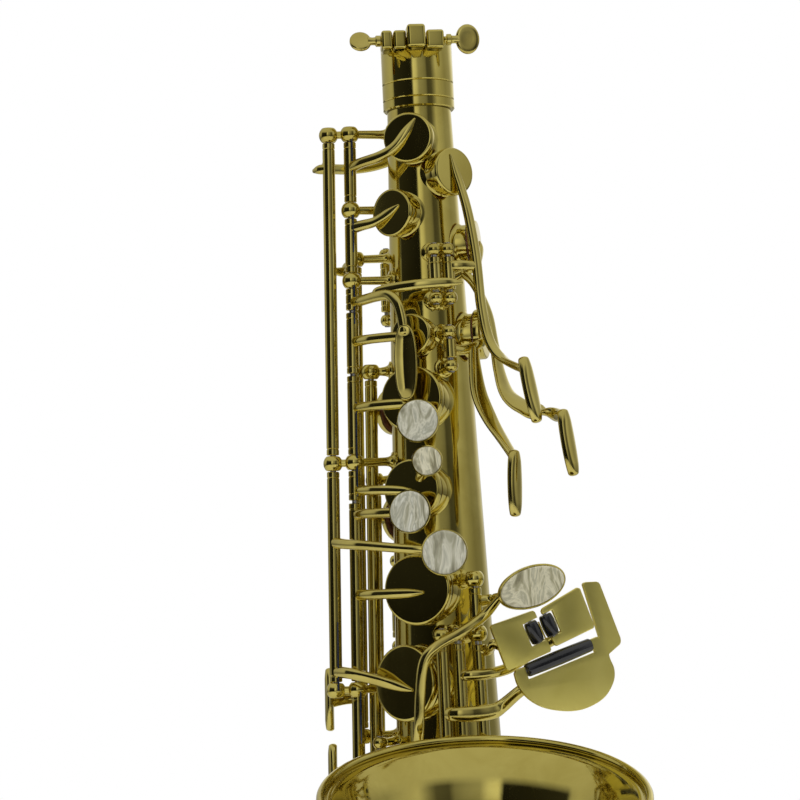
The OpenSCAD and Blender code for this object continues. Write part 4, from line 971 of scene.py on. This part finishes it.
def hoop(y, z, lean, r, sides=144):
    c, s = cos(lean), sin(lean)
    return [
        (r * cos(a), y + r * sin(a) * c, z + r * sin(a) * s)
        for a in (2 * pi * k / sides for k in range(sides))
    ]


def build_bow():
    start, steps = rb(-BODY_LEN), 48

    def bend(k, margin):
        b = pi * k / steps
        return hoop(
            -BOW_R + BOW_R * cos(b), -BODY_LEN - (BOW_R - 0.3) * sin(b), -b,
            start + (BELL_LOW_R - start) * k / steps + margin,
        )

    skin = [bend(k, 0) for k in range(steps + 1)] + [bend(k, -WALL) for k in range(steps, -1, -1)]
    hole, reach = low_c_place()
    knife = joined([(rod(LOW_C_D / 2 - 2.25, 10, 60), hole)])
    fixed("bow_bend", shaped(hoops(skin, closed=True), knife), "bow", crease=30)
    fixed("tone_hole_low_c", drawn_chimney(LOW_C_D, reach), "bow", hole @ move(0, 0, reach),
          crease=50)


def flare_r(t):
    return FLARE_START_R + 2.7 * t + (RIM_R - FLARE_START_R - 2.7) * t ** 8


def flare_ring(t, margin):
    return hoop(
        BELL_Y - FLARE_RISE * sin(RIM_LEAN) * t ** 2.4 / 2.4,
        -BODY_LEN + STEM_LEN + FLARE_RISE * t, RIM_LEAN * t ** 1.4 - pi,
        flare_r(t) + margin, RIM_SIDES,
    )


def build_bell():
    n = 40
    top_y = BELL_Y - FLARE_RISE * sin(RIM_LEAN) / 2.4
    top_z = -BODY_LEN + STEM_LEN + FLARE_RISE
    bead = []
    for k in range(13):
        a = radians(-60 + 25 * k)
        off, r = BEAD_R * sin(a), RIM_R - WALL / 2 - 0.1 + BEAD_R * cos(a)
        bead.append(hoop(
            top_y - off * sin(RIM_LEAN), top_z + off * cos(RIM_LEAN), RIM_LEAN - pi,
            r, RIM_SIDES,
        ))
    ts = [k / n * 0.985 for k in range(n + 1)]
    skin = [flare_ring(t, 0) for t in ts] + bead + [flare_ring(t, -WALL) for t in ts[::-1]]
    fixed("bell_flare", hoops(skin, closed=True), "bell", crease=50)
    steps = 20
    zs = [-BODY_LEN + STEM_LEN * k / steps for k in range(steps + 1)]
    knife = joined([
        (rod(hole_r(h[2]), -14, 12, 64), bell_facing(h)) for h in BELL_HOLES.values()
    ])
    wall = tube_wall([(bell_rad(z), z) for z in zs], (0, BELL_Y))
    fixed("bell_cone", shaped(wall, knife), "bell_stem", crease=30)
    for name, h in BELL_HOLES.items():
        fixed(f"tone_hole_{name}", drawn_chimney(h[2], bell_rad(h[1])), "bell_stem",
              bell_facing(h), crease=50)
    seam_ring("bell_ring", BELL_LOW_R, 0.5, 0.05, "bell_stem", move(0, BELL_Y, 0))


# ---- posts and rods
def post_ball(name, line, z, d=BALL_D):
    """A ball with a flat on each side and a bore for the rod."""
    r, flat, hole = d / 2, d * 0.38, ROD_D / 2
    edge, low = sqrt(r * r - flat * flat), asin(0.76)
    ball = [(hole, -flat), (edge - 0.25, -flat)]
    ball += [
        (r * cos(e), r * sin(e))
        for e in (low * (-0.97 + 1.94 * k / 16) for k in range(17))
    ]
    ball += [(edge - 0.25, flat), (hole, flat), (hole, -flat)]
    fixed(f"{name}_ball", lathe(ball, 40), "key_posts", on_body(line[0], z, line[1]))


def post(name, line, z, foot=None, d=BALL_D):
    """A ball on a turned stem. The foot is at its own angle where the stem leans."""
    foot = line[0] if foot is None else foot
    post_ball(name, line, z, d)
    p, q = Vector(P(line[0], line[1], z)), Vector(P(foot, -0.4, z))
    long = (p - q).length
    stem = [(0, -0.6), (4.1, -0.6), (4.1, 0.75), (3.95, 1.0), (3.6, 1.15), (2.9, 1.4), (2.35, 2.0),
            (2.0, 2.9), (1.8, 4.2), (1.7, max(long - 4, 4.4)), (1.95, max(long - 2.6, 4.6)),
            (1.2, max(long - 1.9, 4.8)), (0, max(long - 1.9, 4.8))]
    fixed(f"{name}_stem", lathe(stem, 36), "key_posts", between(q, p))


def outrigger(name, inner, outer, z):
    """A ball that a short link holds beside the ball of another post."""
    p, q = Vector(P(inner[0], inner[1], z)), Vector(P(outer[0], outer[1], z))
    long = (q - p).length
    link = lathe([(0, 2), (1.7, 2), (1.55, long / 2), (1.7, long - 2), (0, long - 2)], 32)
    fixed(f"{name}_link", link, "key_posts", between(p, q))
    post_ball(name, outer, z)


ROD_A_POSTS = [-38, -70, -99.5, -175, -268, -318, -462]
ROD_B_POSTS = [-38, -175, -268]
# Posts in rows: the line they stand on, their heights, the angle of a foot to one side, and the
# width of the ball
PAIRS = {
    "side_c": (SIDE_C_LINE, (-137, -321), None, 8),
    "side_bb": (SIDE_BB_LINE, (-182, -355), None, 8),
    "high_e": (HIGH_E_LINE, (-89, -288), -114.5, 8),
    "low_cs": (CS_LINE, (-225, -247, -495), None, 8),
    "low_b": (B_LINE, (-247, -453), None, 6.4),
    "low_bb": (BB_LINE, (-247, -399), None, 6.4),
    "palm_f": (PALM_F_LINE, (-90, -110), None, 6),
    "palm_eb": (PALM_EB_LINE, (-90, -110), None, 6),
    "palm_d": (PALM_D_LINE, (-124, -138), None, 6),
    "gs": (GS_LINE, (-290, -316), -84, 6),
    "low_eb": (EB_LINE, (-463, -503), -74, 7),
    "low_c": (C_LINE, (-466, -507), None, 7),
    "octave_pip": (PIP_LINE, (-86, -114), None, 6),
    "octave_thumb": (THUMB_LINE, (-216, -252), None, 6),
}


def hinge_rod(name, line, top, bottom):
    """A steel rod with a screwdriver slot in each end."""
    long = (top - bottom + 5.6) / cos(TAPER)
    r = ROD_D / 2
    shape = lathe([
        (0, 0), (r - 0.2, 0), (r, 0.2), (r, long / 2), (r, long - 0.2), (r - 0.2, long), (0, long)
    ], 28)
    knife = joined([(block((4, 0.5, 1.6)), move(0, 0, z)) for z in (0, long)])
    fixed(f"hinge_rod_{name}", shaped(shape, knife), "hinge_rods",
          on_body(line[0], bottom - 2.8, line[1]), "steel", crease=30)


def build_posts():
    for i, z in enumerate(ROD_A_POSTS):
        post(f"post_stack_{i + 1}", ROD_A, z)
    for i, z in enumerate(ROD_B_POSTS):
        outrigger(f"post_outer_{i + 1}", ROD_A, ROD_B, z)
    hinge_rod("stack", ROD_A, -38, -462)
    hinge_rod("outer", ROD_B, -38, -268)
    for name, (line, zs, foot, d) in PAIRS.items():
        for i, z in enumerate(zs):
            post(f"post_{name}_{i + 1}", line, z, foot, d)
        hinge_rod(name, line, zs[0], zs[-1])


# ---- neck receiver and its clamp
LUG_Y = -17.4
SCREW_Z = -1.5


def build_receiver():
    r, low = RECEIVER_R, -RECEIVER_LEN
    profile = [(12.25, 0), (12.25, low + 3), (NECK_R + 0.05, low + 3), (NECK_R + 0.05, low),
               (r - 0.5, low), (r, low + 0.5)]
    for z in (-24, -17):
        profile += [(r, z - 0.42), (r - 0.1, z - 0.3), (r - 0.34, z), (r - 0.1, z + 0.3),
                    (r, z + 0.42)]
    profile += [(r, -0.5), (r - 0.15, -0.15), (r - 0.5, 0), (12.25, 0)]
    slit = joined([(block((1.2, 8, 30), (0, -r + 1, 1)), spin(-47, "Z"))])
    fixed("receiver_sleeve", shaped(lathe(profile, 144), slit), "neck_receiver", crease=26)
    bore = rod(1.55, -16, 16, 32)
    along = move(0, LUG_Y, SCREW_Z) @ spin(90, "Y")
    sleeve = (rod(12.6, -40, 20, 96), move(0, 0, 0))
    lugs = {
        "lug_left": ((4.5, 9, 7.8), (-14.3, LUG_Y + 1, SCREW_Z), 1.2),
        "lug_left_inner": ((5.3, 9, 7.8), (-8.9, LUG_Y + 1, SCREW_Z), 1.2),
        "clamp_block": ((7.6, 10, 9.6), (-2.2, LUG_Y - 0.4, SCREW_Z + 1.2), 1.3),
        "lug_right": ((7.4, 9, 7.8), (5.8, LUG_Y + 1, SCREW_Z), 1.2),
    }
    for name, (size, centre, edge) in lugs.items():
        lug = shaped(block(size, centre), bevel=edge, segments=5)
        fixed(name, shaped(lug, joined([sleeve, (bore, along)])), "neck_receiver", crease=60)
    foot = shaped(block((4.0, 8, 7.2), (-13.6, -11, SCREW_Z)), joined([sleeve]), bevel=0.8)
    fixed("lug_left_foot", foot, "neck_receiver")


def thumb_screw(node, shank, head_w, head_h, place):
    """A plain shank with a collar and a flattened spade head, along +Z."""
    KEY.update(node=node, turn=Matrix.Identity(4), count=0)
    thread = [(0, 0), (1.1, 0)]
    for k in range(int(shank - 5) * 2):
        thread += [(1.28, 0.3 + k * 0.5), (1.48, 0.55 + k * 0.5)]
    thread += [(1.4, shank - 4.6), (2.1, shank - 4.5), (2.35, shank - 4.2), (2.35, shank - 2.7),
               (2.1, shank - 2.4), (1.7, shank - 2.2), (1.6, shank - 1), (1.9, shank + 0.8),
               (0, shank + 0.8)]
    part("shank", lathe(thread, 40), "key", place, crease=30)
    rows = []
    thick = 1.3
    for i in range(25):
        e = pi * (i + 0.5) / 25
        z, w = -cos(e), sin(e)
        row = []
        for k in range(40):
            a = 2 * pi * k / 40
            x, y = w * cos(a), w * sin(a)
            dish = 1 - 0.35 * max(0, 1 - (x * x + z * z) * 2.2)
            y = copysign(abs(y) ** 0.5, y) * thick * dish
            row.append((x * head_h / 2, y, z * head_w / 2 + shank + head_w / 2 - 0.6))
        rows.append(row)
    part("head", hoops(rows, capped=True), "key", place, crease=70)


def build_screws():
    thumb_screw("neck_screw", 12.2, 10, 12.6, move(3, LUG_Y, SCREW_Z) @ spin(90, "Y"))
    thumb_screw("lyre_screw", 14.2, 9, 9.6,
                move(-7, LUG_Y, SCREW_Z) @ spin(-90, "Y") @ spin(28, "Z"))


# ---- left-hand table
ROLLER_D = 6
ROLLER_DEPTH = 0.9


def table_frame():
    """X runs across the table, Y up, and Z out of its face."""
    return move(TABLE_AT[0], TABLE_AT[1], 0) @ Matrix.Rotation(TABLE_TURN, 4, "Z") @ spin(90, "X")


def slot_box(ends):
    p, q = np.array(ends[0], float), np.array(ends[1], float)
    v = (q - p) / np.linalg.norm(q - p)
    n = np.array([-v[1], v[0]]) * (ROLLER_D / 2 + 0.5)
    p, q = p - v * 0.35, q + v * 0.35
    return slab([tuple(p + n), tuple(q + n), tuple(q - n), tuple(p - n)], -8, 8)


def plate(outline, roller_ends):
    """A touch plate of the table with its edges rounded and a slot for a roller."""
    shape = shaped(slab(outline, 0, 1.8), slot_box(roller_ends), bevel=0.45, segments=4, angle=35)
    part("plate", shape, "plate", table_frame(), crease=60)


def curve(points):
    """A smooth line through the points, for a rounded stretch of an outline."""
    return [tuple(p) for p in spline(points, 5)]


def table_pin(ends):
    p, q = np.array(ends[0], float), np.array(ends[1], float)
    v = (q - p) / np.linalg.norm(q - p)
    p, q = p - v * 1.2, q + v * 1.2
    a, b = Vector(T(*p, ROLLER_DEPTH)), Vector(T(*q, ROLLER_DEPTH))
    part("pin", rod(0.8, 0, (b - a).length, 24), "steel", between(a, b))


def roller_shape(long):
    r = ROLLER_D / 2
    return lathe([
        (0.85, 0), (r - 1.1, 0), (r - 0.7, 0.1), (r - 0.42, 0.42), (r - 0.28, 0.9),
        (r - 0.1, long * 0.25), (r, long * 0.5), (r - 0.1, long * 0.75), (r - 0.28, long - 0.9),
        (r - 0.42, long - 0.42), (r - 0.7, long - 0.1), (r - 1.1, long), (0.85, long), (0.85, 0),
    ], 64)


def roller(node, ends):
    a, b = Vector(T(*ends[0], ROLLER_DEPTH)), Vector(T(*ends[1], ROLLER_DEPTH))
    make(node + "_barrel", roller_shape((b - a).length), node, "black", between(a, b),
         nodes=[node])


def oval(w, h):
    turn = radians(15.5)
    out = []
    for k in range(96):
        a = 2 * pi * k / 96
        x, y = w / 2 * cos(a), h / 2 * sin(a)
        out.append((-1.5 + x * cos(turn) - y * sin(turn),
                    -229.2 + x * sin(turn) + y * cos(turn)))
    return out


def dished(rows):
    """A skin over ovals of (shrink, depth), closed at both ends."""
    return hoops([
        [(x, y, z) for x, y in oval(GS_OVAL[0] - s, GS_OVAL[1] - s)] for s, z in rows
    ], capped=True)


# ---- little-finger touches
PINKY_X, PINKY_Y = -52, 3
EB_ROLLER_Z, C_ROLLER_Z = -474.6, -484
LOW_C_OPEN = 4


def pinky_plate(z1, z2, slot_z):
    middle = (z1 + z2) / 2
    part("touch", shaped(
        block((2.4, 20, z1 - z2), (PINKY_X, PINKY_Y, middle)),
        block((8, 17.4, ROLLER_D + 0.8), (PINKY_X, PINKY_Y, slot_z)), bevel=0.7, segments=4,
    ), "lid", crease=60)
    part("pin", rod(0.8, 0, 18.4, 24), "steel",
         move(PINKY_X, PINKY_Y - 9.2, slot_z) @ spin(-90, "X"))


def pinky_roller(node, slot_z, turn):
    make(node + "_barrel", roller_shape(16.6), node, "black",
         turn @ move(PINKY_X, PINKY_Y - 8.3, slot_z) @ spin(-90, "X"), nodes=[node])


# ---- springs, stops and guards
def build_needles():
    """Blued needle springs, each from a post to the cradle on its key."""
    stack = [
        (-39, -56), (-71, -88), (-100, -118), (-175, -150), (-175, -189), (-268, -290),
        (-318, -338), (-462, -440),
    ]
    rows = [(f"stack_{i + 1}", ROD_A, *zs, 1) for i, zs in enumerate(stack)] + [
        ("outer_1", ROD_B, -38, -60, -1), ("outer_2", ROD_B, -268, -240, 1),
        ("side_c", SIDE_C_LINE, -137, -170, -1), ("side_bb", SIDE_BB_LINE, -355, -322, -1),
        ("low_cs", CS_LINE, -495, -455, 1), ("low_b", B_LINE, -453, -415, 1),
    ]
    beside = degrees(3.2 / (rb(-150) + 17))
    for name, (a, h), z1, z2, side in rows:
        p = Vector(P(a + side * beside, h, z1))
        q = Vector(P(a + side * beside * 1.1, h, z2))
        long = (q - p).length
        make(f"spring_{name}", lathe([
            (0, 0), (0.42, 0.1), (0.38, long * 0.5), (0.24, long - 0.3), (0, long)
        ], 16), "horn", "needle", between(p, q))


def guard_bar(name, stations, axis_y=0):
    fixed(name, sweep(stations, sides=24, steps=8, axis_y=axis_y), "key_guards", look="key")


GUARD_RISE = 18.5
FELT_LEN = 2.2


def build_guards():
    for name, hole in BELL_HOLES.items():
        r = bell_rad(hole[1]) + GUARD_RISE
        span = hole[2] / 2 + 3

        def g(turn, s, dz, w):
            a = radians(hole[0] + turn)
            return (s * sin(a), BELL_Y - s * cos(a), hole[1] + dz, w, 3)

        foot = bell_rad(hole[1]) - 0.2
        guard_bar(f"guard_{name}", [
            g(-22, foot, span, 5), g(-16, r - 5, span, 5), g(-5, r, span * 0.6, 5), g(0, r, 0, 7),
            g(-5, r, -span * 0.6, 5), g(-16, r - 5, -span, 5), g(-22, foot, -span, 5),
        ], BELL_Y)
        under = GUARD_RISE - 1.6 - FELT_LEN - CLEARANCE
        felt_stop(name, bell_facing(hole) @ move(0, 0, under), 3.5)
    guard_bar("guard_low_eb", [
        at(-8, -0.3, -461, 7, 4), at(-10, 9, -461.5, 5, 3), at(-18, 18.5, -466, 5, 3),
        at(-32, 21.5, -478, 5, 3), at(-38, 21.5, -487, 6, 3),
    ])
    a, z, _ = BODY_HOLES["low_eb"]
    disc = lathe([(0, 0), (3.6, 0), (4, 0.4), (4, 2.6), (3.6, 3), (0, 3)], 48)
    fixed("guard_low_eb_disc", disc, "key_guards", facing(a, z, 20), "key")
    felt_stop("low_eb", facing(a, z, 20 - FELT_LEN - CLEARANCE), 3)


def felt_stop(name, place, r):
    fixed(f"felt_{name}", lathe([
        (0, 0), (r - 0.5, 0.02), (r - 0.15, 0.2), (r, 0.6), (r - 0.05, 1.2), (r, 1.8),
        (r - 0.2, FELT_LEN), (0, FELT_LEN)
    ], 48), "guard_felts", place, "felt")


# ---- CAD nodes that stay as they are
def dress_nodes():
    slot_of = {s["node"]: s.get("material_slot") for s in frame["record"]["subparts"]}
    for name, o in frame["nodes"].items():
        if o.hide_render:
            continue
        look = NODE_LOOKS[slot_of[name]]
        o.data.materials.clear()
        o.data.materials.append(LOOKS[look][0])
        o.data.shade_smooth()
        o.data.set_sharp_from_angle(angle=radians(32))


# ---- studio
# The camera's place in metres, its angles in radians, and its focal length in picture widths
CAMERA_AT = (-0.12184, -1.01029, -0.22279)
CAMERA_YAW, CAMERA_PITCH, CAMERA_ROLL = 0.10661, 0.07213, -0.04669
CAMERA_FOCAL = 2444.16 / 800
SENSOR = 36


def camera():
    data = bpy.data.cameras.new("camera")
    o = bpy.data.objects.new("camera", data)
    bpy.context.scene.collection.objects.link(o)
    flat = cos(CAMERA_PITCH)
    ahead = Vector((
        sin(CAMERA_YAW) * flat, cos(CAMERA_YAW) * flat, sin(CAMERA_PITCH)
    ))
    right = Vector((cos(CAMERA_YAW), -sin(CAMERA_YAW), 0))
    up = right.cross(ahead)
    c, s = cos(CAMERA_ROLL), sin(CAMERA_ROLL)
    turn = Matrix((c * right + s * up, c * up - s * right, -ahead)).transposed().to_4x4()
    o.matrix_world = Matrix.Translation(CAMERA_AT) @ turn
    data.lens = CAMERA_FOCAL * SENSOR
    data.sensor_width = SENSOR
    data.clip_start, data.clip_end = 0.05, 50
    bpy.context.scene.camera = o


# (azimuth in degrees, brightness): 0 is towards the camera's side, -Y, and 90 towards +X
WALL_STOPS = [
    (-180, 0.80), (-160, 0.42), (-126, 0.44), (-104, 0.52), (-95, 0.44), (-90, 0.03), (-25, 0.012),
    (-20, 0.85), (-11, 0.70), (-3, 0.36), (10, 0.30), (20, 0.22), (25, 0.08), (38, 0.10),
    (46, 0.28), (56, 0.56), (72, 0.46), (92, 0.34), (118, 0.40), (146, 0.95),
]
# (height of the mirrored direction, brightness)
LEVEL_STOPS = [
    (-1, 0.25), (-0.55, 0.22), (-0.25, 0.30), (-0.08, 0.46), (0.0, 0.62), (0.12, 0.95), (0.3, 1.05),
    (0.6, 0.95), (1, 1.05),
]
CEILING_FROM, CEILING_FULL = 0.42, 0.62


def maths(t, operation, a, b):
    n = t.nodes.new("ShaderNodeMath")
    n.operation = operation
    for value, socket in zip((a, b), n.inputs):
        if isinstance(value, (int, float)):
            socket.default_value = value
        else:
            t.links.new(value, socket)
    return n.outputs["Value"]


def mixed(t, a, blend="MIX"):
    """A colour mix with a linked as its first colour."""
    n = t.nodes.new("ShaderNodeMix")
    n.data_type, n.blend_type = "RGBA", blend
    t.links.new(a, n.inputs["A"])
    return n


def studio_world():
    """A pale surround, with dark flats and bright panels where the brass mirrors them."""
    world = bpy.data.worlds.new("studio")
    world.use_nodes = True
    bpy.context.scene.world = world
    t = world.node_tree
    n, l = t.nodes, t.links
    seen = n["Background"]
    seen.inputs["Color"].default_value = (1, 1, 1, 1)
    seen.inputs["Strength"].default_value = 1.0
    room = n.new("ShaderNodeBackground")
    room.inputs["Strength"].default_value = 1.0
    place = n.new("ShaderNodeTexCoord")
    split = n.new("ShaderNodeSeparateXYZ")
    l.new(place.outputs["Generated"], split.inputs["Vector"])
    around = maths(t, "ARCTAN2", split.outputs["X"], maths(t, "MULTIPLY", split.outputs["Y"], -1))
    walls = ramp(t, ranged(t, around, 0, 1, -pi, pi), [
        ((azimuth + 180) / 360, (grey, grey * 0.99, grey * 0.96)) for azimuth, grey in WALL_STOPS
    ])
    level = ramp(t, ranged(t, split.outputs["Z"], 0, 1, -1, 1), [
        ((z + 1) / 2, (grey, grey, grey)) for z, grey in LEVEL_STOPS
    ])
    overhead = mixed(t, walls)
    overhead.inputs["B"].default_value = (0.55, 0.545, 0.53, 1)
    ceiling = ranged(t, split.outputs["Z"], 0, 1, CEILING_FROM, CEILING_FULL)
    l.new(ceiling, overhead.inputs["Factor"])
    both = mixed(t, overhead.outputs["Result"], "MULTIPLY")
    both.inputs["Factor"].default_value = 1
    l.new(level, both.inputs["B"])
    l.new(both.outputs["Result"], room.inputs["Color"])
    path = n.new("ShaderNodeLightPath")
    mix = n.new("ShaderNodeMixShader")
    l.new(path.outputs["Is Camera Ray"], mix.inputs["Fac"])
    l.new(room.outputs["Background"], mix.inputs[1])
    l.new(seen.outputs["Background"], mix.inputs[2])
    l.new(mix.outputs["Shader"], n["World Output"].inputs["Surface"])


def light(name, where, to, size, power):
    """A panel that lights the floor and soft pieces, and isn't mirrored in the brass."""
    data = bpy.data.lights.new(name, "AREA")
    data.shape = "RECTANGLE"
    data.size, data.size_y = size
    data.energy = power
    data.color = (1, 0.98, 0.95)
    o = bpy.data.objects.new(name, data)
    bpy.context.scene.collection.objects.link(o)
    o.location = where
    o.rotation_mode = "QUATERNION"
    o.rotation_quaternion = (Vector(to) - Vector(where)).to_track_quat("-Z", "Y")
    o.visible_glossy = False


def floor():
    mesh = bpy.data.meshes.new("floor")
    n, r, y, z = 96, 2.2, -0.05, -0.62
    points = [(0, y, z)] + [
        (r * cos(2 * pi * k / n), r * sin(2 * pi * k / n) + y, z)
        for k in range(n)
    ]
    mesh.from_pydata(points, [], [[0, k + 1, (k + 1) % n + 1] for k in range(n)])
    o = bpy.data.objects.new("floor", mesh)
    bpy.context.scene.collection.objects.link(o)
    m, t, s, place = nodes_of("floor_paper")
    grain = noise(t, place, 60, 4)
    t.links.new(ramp(t, grain, [(0.3, (0.80, 0.80, 0.79)), (0.7, (0.86, 0.86, 0.85))]),
                s.inputs["Base Color"])
    s.inputs["Roughness"].default_value = 0.85
    mesh.materials.append(m)


# ---- everything
build_body()
build_bow()
build_bell()
build_posts()
build_receiver()
build_screws()
build_guards()
build_needles()
build_keys()
for name, touch, line, angle, look in (
    ("b", B_TOUCH, ROD_A, STACK_OPEN, "pearl_a"), ("bis", BIS_TOUCH, ROD_A, STACK_OPEN, "pearl_b"),
    ("a", A_TOUCH, ROD_A, STACK_OPEN, "pearl_a"), ("g", G_TOUCH, ROD_B, STACK_OPEN - 1, "pearl_a"),
    ("f", F_TOUCH, ROD_A, STACK_OPEN + 1, "pearl_a"),
    ("e", E_TOUCH, ROD_A, STACK_OPEN + 1, "pearl_b"),
    ("d", D_TOUCH, ROD_A, STACK_OPEN + 1, "pearl_a"),
):
    round_pearl(name, touch, turned(line, -angle), look)
make("gs_pearl_inlay", dished([
    (2.6, 1.06), (1.8, 1.2), (1.8, 2.45), (2.1, 2.75), (2.8, 2.88), (5, 2.86), (9, 2.7), (13, 2.6),
]), "gs_touch", "pearl_b", table_frame(), nodes=["gs_pearl"])
roller("cs_roller", CS_ROLLER_ENDS)
roller("b_roller", B_ROLLER_ENDS)
roller("bb_roller", BB_ROLLER_ENDS)
pinky_roller("eb_roller", EB_ROLLER_Z, Matrix.Identity(4))
pinky_roller("c_roller", C_ROLLER_Z, turned(C_LINE, -LOW_C_OPEN))
dress_nodes()

camera()
studio_world()
light("key_panel", (0.9, -1.3, 0.6), (0, 0, -0.25), (0.5, 0.9), 7)
light("fill_panel", (-1.2, -0.9, 0.3), (0, 0, -0.25), (0.4, 1.0), 5)
light("top_panel", (0.1, -0.1, 1.3), (0, 0, -0.3), (0.8, 0.8), 6)
floor()
scene = bpy.context.scene
scene.view_settings.view_transform = "Standard"
scene.view_settings.look = "None"
scene.cycles.max_bounces = 8
scene.cycles.glossy_bounces = 6
